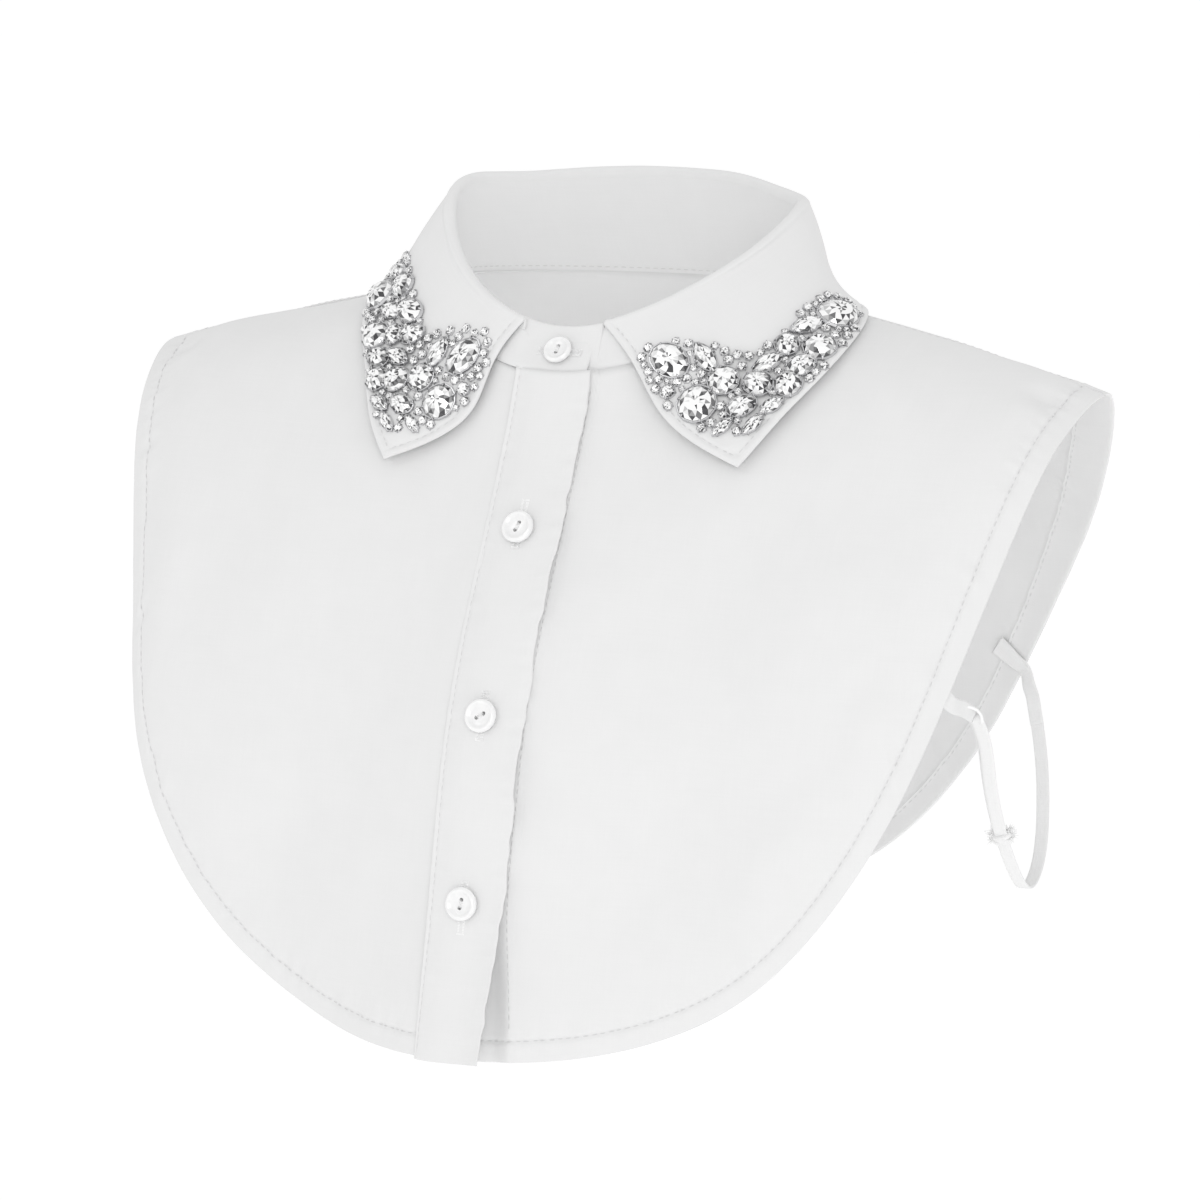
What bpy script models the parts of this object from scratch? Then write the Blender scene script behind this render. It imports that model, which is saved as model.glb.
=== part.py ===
# Detachable shirt collar: two bib fronts with a button placket, a back,
# a stand and a pointed fall with a stone motif on each point, and a narrow
# elastic strap at each side. Worn and filled out, held up by the neck.
# +Z is up, the wearer faces -Y and the wearer's left is +X. Sizes are in mm
# and become metres when a mesh is made.
import math

import bmesh
import bpy
import numpy as np
from mathutils import Vector
from mathutils.geometry import delaunay_2d_cdt

MM = 0.001

# Cloth
CLOTH = 1.2                 # wall of a body panel
SEAM_GAP = 0.35             # between two sewn pieces
HEM_WIDTH = 8.5             # turned hem round the bib
HEM_RAISE_OUT = 0.25        # the turned hem is thicker on both faces
HEM_RAISE_IN = 0.55
CURL_REACH = 28.0           # how far in from the edge the bib curls back

# Neck seam and fold line of the collar: ovals that dip at the front
NECK = dict(half_x=61.0, front_y=-58.5, back_y=52.0, front_z=-21.0, back_z=5.5, dip_deg=100.0)
FOLD = dict(half_x=59.3, front_y=-51.5, back_y=46.5, front_z=-6.5, back_z=40.0, dip_deg=108.0,
            shift_x=-1.3)

# Outer edge of the bib on the wearer's left, from centre front round the hem,
# up the side, over the shoulder and down to centre back. neck_deg is where the
# station's line starts on the neck seam, bust and curl are how far the cloth
# stands out between its ends and just inside its edge. Stations are numbered
# from 0; the wearer's right has the same table with minus numbers.
EDGE_COLUMNS = ("station", "neck_deg", "x", "y", "z", "bust", "curl")
EDGE = (
    ("centre_front", 0, 0, -125, -242, 11, 2),
    ("hem_front", 9, 40, -115, -239, 10, 3),
    ("hem", 18, 76, -103.5, -227, 9, 4),
    ("hem_turn", 28, 108, -99, -202, 7, 5),
    ("low_side", 39, 134.5, -91, -158, 4, 8),
    ("side", 51, 151, -73, -108, 2, 9),
    ("armhole", 64, 163, -53, -61, 1, 7),
    ("arm_top", 76, 170, -33, -37, 0, 4),
    ("shoulder", 88, 174, -7, -25.5, 0, 1),
    ("back_top", 99, 170, 14, -35, 0, 2),
    ("back_arm", 110, 160, 34, -56, 1, 3),
    ("back_side", 121, 147, 49, -81, 3, 4),
    ("back_mid", 133, 126.5, 60, -120, 5, 4),
    ("back_low", 145, 103, 66, -160, 6, 4),
    ("back_turn", 157, 69, 70, -195, 6, 3),
    ("back_hem", 169, 34, 73, -210, 6, 2),
    ("centre_back", 180, 0, 74, -214, 6, 2),
)
SHOULDER = 8                # station of the shoulder seam
CENTRE_BACK = 16

# Front closing
PLACKET_HALF = 14.0
PLACKET_WALL = 1.4
UNDERLAP_EDGE = -11.0       # free edge of the left front, past centre front
RIGHT_FRONT_EDGE = -11.8    # edge of the right front, under the placket

# Collar
STAND_WALL = 1.4
STAND_LAP_DEG = 12.0        # each end of the stand runs this far past centre front
STAND_LAP_STEP = 1.05       # the lapped ends step out and in by this much
FALL_WALL = 1.6
FALL_START_DEG = 13.5       # front end of the fold, from centre front
ROLL = 1.5                  # radius of the fold, to the middle of the wall

# Outer edge of the fall, by angle round the fold: the body station it lies
# over and its distance down from the neck seam, on the wearer's left and
# right, how far it stands off the panel and how far its wall sags inward.
FALL_COLUMNS = ("place", "fold_deg", "left_station", "left_reach",
                "right_station", "right_reach", "lift", "sag")
FALL = (
    ("tip", 13.5, 4.3, 48.5, 3.5, 49, 2.4, 0),
    ("front", 34, 5.1, 44, 4.3, 41.5, 2.0, 0.5),
    ("side", 56, 6.0, 40.5, 5.3, 33, 1.6, 2.5),
    ("shoulder", 80, 7.4, 33, 6.9, 30, 1.0, 5),
    ("behind", 112, 9.6, 26, 9.6, 27, 1.0, 5),
    ("back_side", 146, 12.6, 19, 12.6, 19, 1.2, 1.6),
    ("back", 180, 16, 15, 16, 15, 1.4, 0),
)
FALL_BOW = dict(left=9.5, right=14.0, fade_deg=34.0)    # front edges bow to centre front


# Buttons and the placket's free edge, which stands off in waves between them
BUTTON_HEIGHTS = (-14.0, -71.0, -130.0, -190.0)
BUTTON = dict(radius=5.6, edge=1.5, rise=2.2, rim=4.3, dish=3.6, dish_rise=1.6,
              hole=0.75, hole_apart=1.35, tilt_deg=20.0)
PLACKET_TOP = 1.3           # how far below the neck seam it starts
PLACKET_BELOW_HEM = 2.0
PLACKET_COLUMNS = ("share_down", "edge_lift")
PLACKET_EDGE = (
    (0.0, 0.0),
    (0.10, 0.4),
    (0.22, 0.2),
    (0.36, 2.2),
    (0.48, 0.5),
    (0.62, 1.5),
    (0.76, 0.4),
    (0.88, 2.0),
    (1.02, 4.0),
)

# Stone motif of one collar point. Place is given by fold angle and share of
# the way from the fold to the fall's edge; turn is from straight down.
STONE_COLUMNS = ("deg", "share", "length", "width", "turn", "corners")
STONES = (
    (77.0, 0.83, 6.4, 6.4, 0, 8),
    (70.4, 0.85, 6.6, 6.6, 20, 8),
    (63.6, 0.86, 8.0, 6.0, 75, 8),
    (57.2, 0.87, 6.0, 6.0, 0, 8),
    (51.4, 0.86, 8.6, 4.6, 20, 6),
    (45.4, 0.88, 6.2, 6.2, 10, 8),
    (39.2, 0.88, 7.4, 5.2, 60, 8),
    (33.2, 0.90, 5.2, 5.2, 0, 8),
    (27.4, 0.90, 7.6, 4.2, 35, 6),
    (21.0, 0.91, 7.6, 4.2, 70, 6),
    (71.4, 0.65, 4.8, 4.8, 0, 8),
    (64.4, 0.66, 5.4, 5.4, 0, 8),
    (56.4, 0.66, 8.6, 6.2, 80, 8),
    (47.6, 0.67, 5.8, 5.8, 0, 8),
    (40.6, 0.68, 6.0, 6.0, 15, 8),
    (33.2, 0.72, 6.2, 6.2, 0, 8),
    (24.2, 0.74, 9.0, 9.0, 10, 10),
    (18.4, 0.58, 5.0, 5.0, 0, 8),
    (25.6, 0.56, 5.4, 5.4, 0, 8),
    (21.4, 0.43, 9.0, 6.6, 15, 8),
    (27.8, 0.42, 4.6, 4.6, 0, 8),
    (20.6, 0.27, 7.0, 4.0, 60, 6),
    (33.8, 0.57, 4.8, 4.8, 0, 8),
)
MOTIF_OUTLINE = (
    (17.4, 0.19), (22.0, 0.17), (26.0, 0.26), (31.0, 0.38), (36.0, 0.52), (42.0, 0.56),
    (50.0, 0.56), (58.0, 0.55), (66.0, 0.55), (74.0, 0.56), (79.0, 0.66), (81.5, 0.82),
    (79.0, 0.94), (72.0, 0.965), (62.0, 0.97), (52.0, 0.97), (42.0, 0.975), (32.0, 0.98),
    (24.0, 0.98), (17.4, 0.97), (15.4, 0.88), (15.2, 0.74), (15.2, 0.58), (15.4, 0.36),
)
MOTIF = dict(gap=0.35, backing=0.8, girdle=1.3, crown=1.0, taper=0.12, table=0.55)

# Elastic strap of the wearer's left: the middle of its path in mm, between
# the tabs sewn inside the two hems.
STRAP_PATH = (
    (152.4, -60.0, -123.0),
    (153.5, -54.0, -131.4),
    (153.0, -47.0, -143.8),
    (152.0, -38.0, -156.9),
    (151.0, -28.0, -167.7),
    (150.0, -17.0, -177.5),
    (148.6, -5.0, -185.6),
    (147.0, 8.0, -190.2),
    (145.5, 20.0, -187.2),
    (143.5, 30.0, -179.7),
    (140.5, 39.0, -167.8),
    (137.1, 46.0, -155.3),
    (133.0, 51.5, -142.6),
    (129.5, 55.0, -133.0),
)
STRAP = dict(width=4.4, thick=1.0, doubled=2.2, knot_at=4, steps=44)
STRAP_KNOT = dict(length=4.0, clear=0.35, wall=1.3)
TAB = dict(width=5.4, thick=0.9, inside=7.0, front_station=4.85, back_station=11.9)


def unit(v):
    return v / np.linalg.norm(v, axis=-1, keepdims=True)


def spline(knots, values):
    """Smooth curve through rows of values at rising knots."""
    knots, values = np.array(knots, float), np.array(values, float)
    step = np.diff(knots)
    count = len(knots)
    system, bend = np.eye(count), np.zeros_like(values)
    slope = np.diff(values, axis=0) / step[:, None]
    for i in range(1, count - 1):
        system[i, i - 1:i + 2] = step[i - 1], 2 * (step[i - 1] + step[i]), step[i]
        bend[i] = 6 * (slope[i] - slope[i - 1])
    bend = np.linalg.solve(system, bend)

    def at(t):
        t = np.asarray(t, float)
        i = np.clip(np.searchsorted(knots, t) - 1, 0, count - 2)
        h = step[i][..., None]
        f = ((t - knots[i]) / step[i])[..., None]
        g = 1 - f
        curve = ((g**3 - g) * bend[i] + (f**3 - f) * bend[i + 1]) * h**2 / 6
        return g * values[i] + f * values[i + 1] + curve
    return at


def ring(deg, half_x, front_y, back_y, front_z, back_z, dip_deg, shift_x=0.0):
    """Point on a neck oval. 0 is centre front, 90 the wearer's left."""
    deg = np.asarray(deg, float)
    turn = np.radians(deg)
    from_front = np.abs((deg + 180) % 360 - 180)
    rise = (1 - np.cos(np.pi * np.minimum(from_front / dip_deg, 1))) / 2
    x = half_x * np.sin(turn) + shift_x * (1 - np.cos(turn)) / 2
    y = (front_y + back_y) / 2 - (back_y - front_y) / 2 * np.cos(turn)
    return np.stack([x, y, front_z + (back_z - front_z) * rise], -1)


def ring_outward(deg, half_x, front_y, back_y, **_):
    turn = np.radians(np.asarray(deg, float))
    half_y = (back_y - front_y) / 2
    flat = np.stack([half_y * np.sin(turn), -half_x * np.cos(turn), 0 * turn], -1)
    return unit(flat)


# --- the worn surface of the bib -------------------------------------------

def body_stations():
    """Table rows for both sides as one run of stations, on past centre back."""
    rows = [dict(zip(EDGE_COLUMNS, row)) for row in EDGE]
    knots, values = [], []
    for station in range(-CENTRE_BACK - 4, CENTRE_BACK + SHOULDER + 5):
        wrapped = (station + CENTRE_BACK) % (2 * CENTRE_BACK) - CENTRE_BACK
        row = rows[abs(wrapped)]
        side = -1 if wrapped < 0 else 1
        neck = ring(row["neck_deg"], **NECK) * (side, 1, 1)
        edge = (row["x"] * side, row["y"], row["z"])
        knots.append(station)
        values.append([*neck, *edge, row["bust"], row["curl"]])
    return spline(knots, values)


AT_STATION = body_stations()


def ruled(t, r):
    """Straight lines from the neck seam (r = 0) to the outer edge (r = 1)."""
    row = AT_STATION(t)
    return row[..., 0:3] + (row[..., 3:6] - row[..., 0:3]) * np.asarray(r)[..., None]


def body(t, r):
    """Middle of the bib's cloth at a station and a share of the way down."""
    t, r = np.broadcast_arrays(np.asarray(t, float), np.asarray(r, float))
    row = AT_STATION(t)
    length = np.linalg.norm(row[..., 3:6] - row[..., 0:3], axis=-1)
    out = outward(ruled, t, r)
    bust = row[..., 6] * np.sin(np.pi * np.clip(r, 0, 1))**2
    inset = np.clip((1 - r) * length / CURL_REACH, -1, 1)
    curl = row[..., 7] * (1 - (1 - inset)**2) * np.clip(2 * r, 0, 1)
    return ruled(t, r) + out * (bust + curl)[..., None]


def outward(surface, t, r, step=0.004):
    along = surface(t + step, r) - surface(t - step, r)
    down = surface(t, r + step) - surface(t, r - step)
    return unit(np.cross(down, along))


def line_length(t):
    row = AT_STATION(t)
    return np.linalg.norm(row[..., 3:6] - row[..., 0:3], axis=-1)


def station_at_x(x, r):
    """Station near centre front where the body surface has this x."""
    trial = np.linspace(-2.6, 2.6, 209)
    across = body(trial, np.full_like(trial, r))[:, 0]
    return float(np.interp(x, across, trial))


# --- mesh helpers ------------------------------------------------------------

def material(name, colour, roughness, metallic=0.0):
    mat = bpy.data.materials.new(name)
    mat.use_nodes = True
    shader = mat.node_tree.nodes["Principled BSDF"]
    shader.inputs["Base Color"].default_value = (*colour, 1)
    shader.inputs["Roughness"].default_value = roughness
    shader.inputs["Metallic"].default_value = metallic
    return mat


def add_object(name, verts, faces, mat, smooth=True):
    """Object from mm points; its faces are turned outward."""
    mesh = bpy.data.meshes.new(name)
    mesh.from_pydata([tuple(float(c) * MM for c in v) for v in verts], [], faces)
    bm = bmesh.new()
    bm.from_mesh(mesh)
    bmesh.ops.recalc_face_normals(bm, faces=bm.faces)
    bm.to_mesh(mesh)
    bm.free()
    mesh.materials.append(mat)
    if smooth:
        mesh.shade_smooth()
        mesh.set_sharp_from_angle(angle=math.radians(40))
    obj = bpy.data.objects.new(name, mesh)
    bpy.context.scene.collection.objects.link(obj)
    return obj


def wall(name, middle, out, thick_out, thick_in, mat):
    """Closed wall over a grid of middle points with outward directions."""
    rows, cols = middle.shape[:2]
    thick_out = np.broadcast_to(thick_out, (rows, cols))[..., None]
    thick_in = np.broadcast_to(thick_in, (rows, cols))[..., None]
    outer = (middle + out * thick_out).reshape(-1, 3)
    inner = (middle - out * thick_in).reshape(-1, 3)
    verts = np.concatenate([outer, inner])
    back = rows * cols

    def at(i, j):
        return i * cols + j
    faces = []
    for i in range(rows - 1):
        for j in range(cols - 1):
            quad = (at(i, j), at(i, j + 1), at(i + 1, j + 1), at(i + 1, j))
            faces.append(quad)
            faces.append(tuple(back + k for k in reversed(quad)))
    border = [at(i, 0) for i in range(rows)]
    border += [at(rows - 1, j) for j in range(1, cols)]
    border += [at(i, cols - 1) for i in range(rows - 2, -1, -1)]
    border += [at(0, j) for j in range(cols - 2, 0, -1)]
    for a, b in zip(border, border[1:] + border[:1]):
        faces.append((a, b, back + b, back + a))
    return add_object(name, verts, faces, mat)


# --- body panels -------------------------------------------------------------

def panel(name, start, end, columns, lines, mat):
    """Panel between two station limits, each given as a function of r."""
    share = np.linspace(0, 1, columns + 1)
    near_edge = start(0.9) + (end(0.9) - start(0.9)) * share
    length = line_length(near_edge)
    inner_end = 1 - (HEM_WIDTH + 0.6) / length
    levels = [inner_end * k / lines for k in range(lines + 1)]
    levels += [1 - d / length for d in (HEM_WIDTH, HEM_WIDTH / 2, 0)]
    r = np.stack(levels, -1)
    t = np.empty_like(r)
    for i in range(r.shape[0]):
        for j in range(r.shape[1]):
            t[i, j] = start(r[i, j]) + (end(r[i, j]) - start(r[i, j])) * share[i]
    in_hem = np.arange(r.shape[1]) > lines
    thick_out = CLOTH / 2 + HEM_RAISE_OUT * in_hem
    thick_in = CLOTH / 2 + HEM_RAISE_IN * in_hem
    return wall(name, body(t, r), outward(body, t, r), thick_out, thick_in, mat)


def shoulder_limit(side, behind):
    """Station of the shoulder seam, held off by half the seam gap."""
    def at(r):
        seam = float(side * SHOULDER)
        pace = np.linalg.norm(body(seam + 0.01, r) - body(seam - 0.01, r)) / 0.02
        shift = SEAM_GAP / 2 / pace
        return seam + side * (shift if behind else -shift)
    return at


def body_panels(cotton):
    panel("front_left", lambda r: station_at_x(UNDERLAP_EDGE, r),
          shoulder_limit(1, False), 28, 8, cotton)
    panel("front_right", lambda r: station_at_x(RIGHT_FRONT_EDGE, r),
          shoulder_limit(-1, False), 28, 8, cotton)
    around = 2.0 * CENTRE_BACK
    left_limit, right_limit = shoulder_limit(1, True), shoulder_limit(-1, True)
    panel("back", left_limit, lambda r: right_limit(r) + around, 38, 6, cotton)


# --- collar ------------------------------------------------------------------

def lap_step(deg):
    """How far the stand's lapped ends step out (right end) or in (left end)."""
    deg = np.asarray(deg, float)
    left_end = np.clip((30 - deg) / 22, 0, 1)
    right_end = np.clip((deg - 330) / 22, 0, 1)
    ease = lambda k: k * k * (3 - 2 * k)
    return STAND_LAP_STEP * (ease(right_end) - ease(left_end))


def collar_stand(cotton):
    covered_from = FALL_START_DEG - 1.5
    near_fall = np.array([covered_from - 2.5, covered_from])
    deg = np.concatenate([np.linspace(-STAND_LAP_DEG, 360 + STAND_LAP_DEG, 63),
                          near_fall, 360 - near_fall])
    deg.sort()
    step = ring_outward(deg, **NECK) * lap_step(deg)[:, None]
    seam = ring(deg, **NECK)
    flare = unit(AT_STATION(np.interp(deg % 360, NECK_DEGS, STATIONS))[..., 3:6] - seam)
    flat = np.linalg.norm(flare[:, :2], axis=-1)
    foot = seam + step + np.stack([0 * flat, 0 * flat, SEAM_GAP + CLOTH / 2 * flat], -1)
    under_fall = (deg > covered_from - 0.01) & (deg < 360.01 - covered_from)
    end_deg = np.minimum(deg + STAND_LAP_DEG, 360 + STAND_LAP_DEG - deg)
    corner = 3.0 * np.clip(1 - end_deg / 3.5, 0, 1)**2
    drop = np.where(under_fall, ROLL + SEAM_GAP + 1.1, corner)
    top = ring(deg, **FOLD) + step - np.stack([0 * drop, 0 * drop, drop], -1)
    share = np.linspace(0, 1, 4)[None, :, None]
    middle = foot[:, None] * (1 - share) + top[:, None] * share
    out = np.repeat(ring_outward(deg, **NECK)[:, None], 4, 1)
    wall("collar_stand", middle, out, STAND_WALL / 2, STAND_WALL / 2, cotton)


STATIONS = np.arange(0, 2 * CENTRE_BACK + 1)
NECK_DEGS = np.array([row[1] for row in EDGE] + [360 - row[1] for row in EDGE[-2::-1]])


def fall_edge():
    """Station, reach, lift and sag of the fall's edge, by fold angle."""
    rows = [dict(zip(FALL_COLUMNS, row)) for row in FALL]
    knots, values = [], []
    for row in rows:
        knots.append(row["fold_deg"])
        values.append((row["left_station"], row["left_reach"], row["lift"], row["sag"]))
    for row in rows[-2::-1]:
        knots.append(360 - row["fold_deg"])
        station = 2 * CENTRE_BACK - row["right_station"]
        values.append((station, row["right_reach"], row["lift"], row["sag"]))
    return spline(knots, values)


FALL_EDGE = fall_edge()


def fall_middle(deg, share):
    """Middle of the fall's wall; share runs from below the fold to the edge."""
    edge = FALL_EDGE(deg)
    station = np.where(edge[..., 0] > CENTRE_BACK, edge[..., 0] - 2 * CENTRE_BACK, edge[..., 0])
    r = edge[..., 1] / line_length(station)
    lift = (CLOTH / 2 + FALL_WALL / 2 + edge[..., 2])[..., None]
    hem = body(station, r) + outward(body, station, r) * lift
    fold = ring(deg, **FOLD) + ring_outward(deg, **FOLD) * lap_step(deg)[..., None]
    side = ring_outward(deg, **FOLD)
    up = np.array([0, 0, 1.0])
    start = fold + side * 2 * ROLL - up * ROLL
    sag = edge[..., 3] * np.sin(np.pi * share)
    middle = start + (hem - start) * share[..., None] - side * sag[..., None]
    on_left = deg < 180
    from_front = np.where(on_left, deg, 360 - deg) - FALL_START_DEG
    fade = np.clip(1 - from_front / FALL_BOW["fade_deg"], 0, 1)**2
    reach = np.where(on_left, -FALL_BOW["left"], FALL_BOW["right"])
    middle[..., 0] += reach * fade * np.sin(np.pi * share**1.9)
    return middle


def collar_fall(cotton):
    deg = np.linspace(FALL_START_DEG, 360 - FALL_START_DEG, 53)
    fold = ring(deg, **FOLD) + ring_outward(deg, **FOLD) * lap_step(deg)[..., None]
    side = ring_outward(deg, **FOLD)
    up = np.array([0, 0, 1.0])
    lines = [fold - up * (ROLL + 0.5)]
    for turn in np.radians((0, 50, 90, 130, 180)):
        lines.append(fold + side * ROLL * (1 - math.cos(turn)) + up * ROLL * (math.sin(turn) - 1))
    for share in (0.15, 0.35, 0.55, 0.78, 1.0):
        lines.append(fall_middle(deg, np.full_like(deg, share)))
    middle = np.stack(lines, 1)
    along = np.gradient(middle, axis=0)
    down = np.gradient(middle, axis=1)
    out = unit(np.cross(down, along))
    wall("collar_fall", middle, out, FALL_WALL / 2, FALL_WALL / 2, cotton)


# --- front closing -------------------------------------------------------------

def placket_point(x, r):
    """Middle of the placket's wall and its outward direction."""
    t = np.array([station_at_x(a, b) for a, b in zip(x.ravel(), r.ravel())]).reshape(x.shape)
    out = outward(body, t, r)
    lift = CLOTH / 2 + HEM_RAISE_OUT + SEAM_GAP + PLACKET_WALL / 2
    share_down, edge_lift = np.array(PLACKET_EDGE).T
    wave = spline(share_down, edge_lift[:, None])(r)[..., 0]
    free = np.clip((x - 1) / (PLACKET_HALF - 1), 0, 1)**2
    return body(t, r) + out * (lift + np.maximum(wave, 0) * free)[..., None], out


def placket(cotton):
    length = float(line_length(0))
    x = np.array([-PLACKET_HALF, -11, -5, 1, 6, 10.5, PLACKET_HALF])
    r = np.linspace(PLACKET_TOP / length, 1 + PLACKET_BELOW_HEM / length, 29)
    middle, out = placket_point(*np.meshgrid(x, r, indexing="ij"))
    wall("placket", middle, out, PLACKET_WALL / 2, PLACKET_WALL / 2, cotton)


def triangulate(loops, loose=()):
    """Triangles over flat points; every loop's edges are kept."""
    points, edges = [], []
    for loop in loops:
        base = len(points)
        points += [Vector((float(a), float(b))) for a, b in loop]
        edges += [(base + k, base + (k + 1) % len(loop)) for k in range(len(loop))]
    points += [Vector((float(a), float(b))) for a, b in loose]
    _, _, faces, origin, _, _ = delaunay_2d_cdt(points, edges, [], 0, 1e-6)
    flat = np.array([tuple(q) for q in points])
    return flat, [tuple(origin[k][0] for k in face) for face in faces]


def inside(point, loop):
    """Even-odd test of a flat point in a closed run of points."""
    a = np.asarray(loop, float)
    b = np.roll(a, -1, axis=0)
    crosses = (a[:, 1] > point[1]) != (b[:, 1] > point[1])
    rise = np.where(b[:, 1] == a[:, 1], 1, b[:, 1] - a[:, 1])
    at = a[:, 0] + (point[1] - a[:, 1]) / rise * (b[:, 0] - a[:, 0])
    return bool(np.count_nonzero(crosses & (at > point[0])) % 2)


def plate(name, outline, holes, raised, grid, place, mat):
    """Closed plate. place(flat points, heights) gives 3-D points; raised is a
    list of (loop, height) on its top, the outline and holes come first."""
    ring_loops = [outline, *holes]
    heights = np.concatenate([np.full(len(loop), raise_by) for loop, raise_by in raised])
    flat, faces = triangulate([loop for loop, _ in raised])
    top = place(flat, heights)
    flat_low, low_faces = triangulate(ring_loops, grid)
    low = place(flat_low, np.zeros(len(flat_low)))

    def keep(points, faces):
        kept = []
        for face in faces:
            a, b, c = points[list(face)]
            middle = (a + b + c) / 3
            sliver = abs(np.linalg.det([b - a, c - a])) < 1e-7
            in_hole = any(inside(middle, hole) for hole in holes)
            if inside(middle, outline) and not in_hole and not sliver:
                kept.append(face)
        return kept
    base = len(top)
    solid = [tuple(face) for face in keep(flat, faces)]
    solid += [tuple(base + k for k in reversed(face)) for face in keep(flat_low, low_faces)]
    start = 0
    for loop in ring_loops:
        size = len(loop)
        for k in range(size):
            a, b = start + k, start + (k + 1) % size
            solid.append((a, base + a, base + b, b))
        start += size
    return add_object(name, np.concatenate([top, low]), solid, mat)


def circle(radius, count, x=0.0, y=0.0, turn=0.0):
    angle = np.linspace(0, 2 * np.pi, count, endpoint=False) + turn
    return np.stack([x + radius * np.cos(angle), y + radius * np.sin(angle)], -1)


def button(number, centre, out, pearl):
    """Two-hole button; centre is the middle of its back face."""
    across = unit(np.cross(out, np.array([0, 0, 1.0])))
    up = np.cross(across, out)
    b = BUTTON
    tilt = math.radians(b["tilt_deg"])
    apart = np.array([math.cos(tilt), math.sin(tilt)]) * b["hole_apart"]
    outline = circle(b["radius"], 24)
    holes = [circle(b["hole"], 8, *(side * apart)) for side in (1, -1)]
    raised = [(outline, b["edge"]), (holes[0], b["dish_rise"]), (holes[1], b["dish_rise"]),
              (circle(b["radius"] - 0.5, 24), b["rise"]), (circle(b["rim"], 20), b["rise"]),
              (circle(b["dish"], 16), b["dish_rise"])]

    def place(flat, height):
        return centre + flat[:, :1] * across + flat[:, 1:] * up + height[:, None] * out
    plate(f"button_{number}", outline, holes, raised, (), place, pearl)


def buttons(pearl):
    lean = np.array([0, FOLD["front_y"] - NECK["front_y"], FOLD["front_z"] - NECK["front_z"]])
    seam = ring(0, **NECK)
    share = (BUTTON_HEIGHTS[0] - seam[2]) / lean[2]
    front = unit(np.cross(lean, np.array([-1.0, 0, 0])))
    on_stand = seam + lean * share + np.array([0, -STAND_LAP_STEP - STAND_WALL / 2, 0])
    button(1, on_stand + front * SEAM_GAP, front, pearl)
    trial = np.linspace(0, 1, 401)
    heights = body(0, trial)[:, 2]
    for number, z in enumerate(BUTTON_HEIGHTS[1:], 2):
        r = np.array([[np.interp(-z, -heights, trial)]])
        middle, out = placket_point(np.zeros((1, 1)), r)
        face = PLACKET_WALL / 2 + SEAM_GAP
        button(number, middle[0, 0] + out[0, 0] * face, out[0, 0], pearl)


# --- stone motifs ----------------------------------------------------------------

def fall_frame(deg, share):
    """Middle of the fall's wall with its slopes by angle and share, and outward."""
    small = 0.002
    by_deg = (fall_middle(deg + small, share) - fall_middle(deg - small, share)) / (2 * small)
    by_share = (fall_middle(deg, share + small) - fall_middle(deg, share - small)) / (2 * small)
    return fall_middle(deg, share), by_deg, by_share, unit(np.cross(by_share, by_deg))


def stone_loop(row, side, scale, shrink):
    """Outline of one stone in fold angle and share."""
    deg = row["deg"] if side > 0 else 360 - row["deg"]
    _, by_deg, by_share, _ = fall_frame(np.array(deg), np.array(row["share"]))
    down = unit(by_share)
    across = unit(by_deg - down * (by_deg @ down)) * side
    turn = math.radians(row["turn"])
    long_way = down * math.cos(turn) + across * math.sin(turn)
    wide_way = across * math.cos(turn) - down * math.sin(turn)
    flat = circle(1, row["corners"], turn=math.pi / row["corners"] * (row["corners"] != 6))
    reach = np.array([row["length"], row["width"]]) / 2 * scale - shrink
    offsets = flat[:, :1] * reach[0] * long_way + flat[:, 1:] * reach[1] * wide_way
    slopes = np.stack([by_deg, by_share], -1)
    step = np.linalg.lstsq(slopes, offsets.T, rcond=None)[0].T
    return step + (deg, row["share"])


def rounded(corner):
    """Corners with a rounded point between each two."""
    one_back, one_on = np.roll(corner, 1, axis=0), np.roll(corner, -1, axis=0)
    two_on = np.roll(corner, -2, axis=0)
    halfway = (9 * (corner + one_on) - one_back - two_on) / 16
    return np.stack([corner, halfway], 1).reshape(-1, 2)


def motif(name, side, glass):
    m = MOTIF
    to_flat = np.array([1, 45.0])
    rows = [dict(zip(STONE_COLUMNS, row)) for row in STONES]
    corner = np.array(MOTIF_OUTLINE)
    if side < 0:
        corner = np.stack([360 - corner[:, 0], corner[:, 1]], -1)
    outline = rounded(corner) * to_flat
    raised = [(outline, m["backing"])]
    for row in rows:
        raised.append((stone_loop(row, side, 1, 0) * to_flat, m["backing"]))
        raised.append((stone_loop(row, side, 1, m["taper"]) * to_flat, m["backing"] + m["girdle"]))
        top = m["backing"] + m["girdle"] + m["crown"]
        raised.append((stone_loop(row, side, m["table"], 0) * to_flat, top))
    low_deg, high_deg = np.sort(corner[:, 0])[[0, -1]]
    grid = []
    for deg in np.arange(low_deg + 3, high_deg, 5.0):
        for share in np.arange(0.28, 0.95, 0.11):
            if inside((deg, share), corner):
                grid.append((deg * to_flat[0], share * to_flat[1]))

    def place(flat, height):
        deg, share = (flat / to_flat).T
        middle, _, _, out = fall_frame(deg, share)
        return middle + out * (FALL_WALL / 2 + m["gap"] + height)[:, None]
    plate(name, outline, (), raised, grid, place, glass)


# --- side straps ------------------------------------------------------------------

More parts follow.
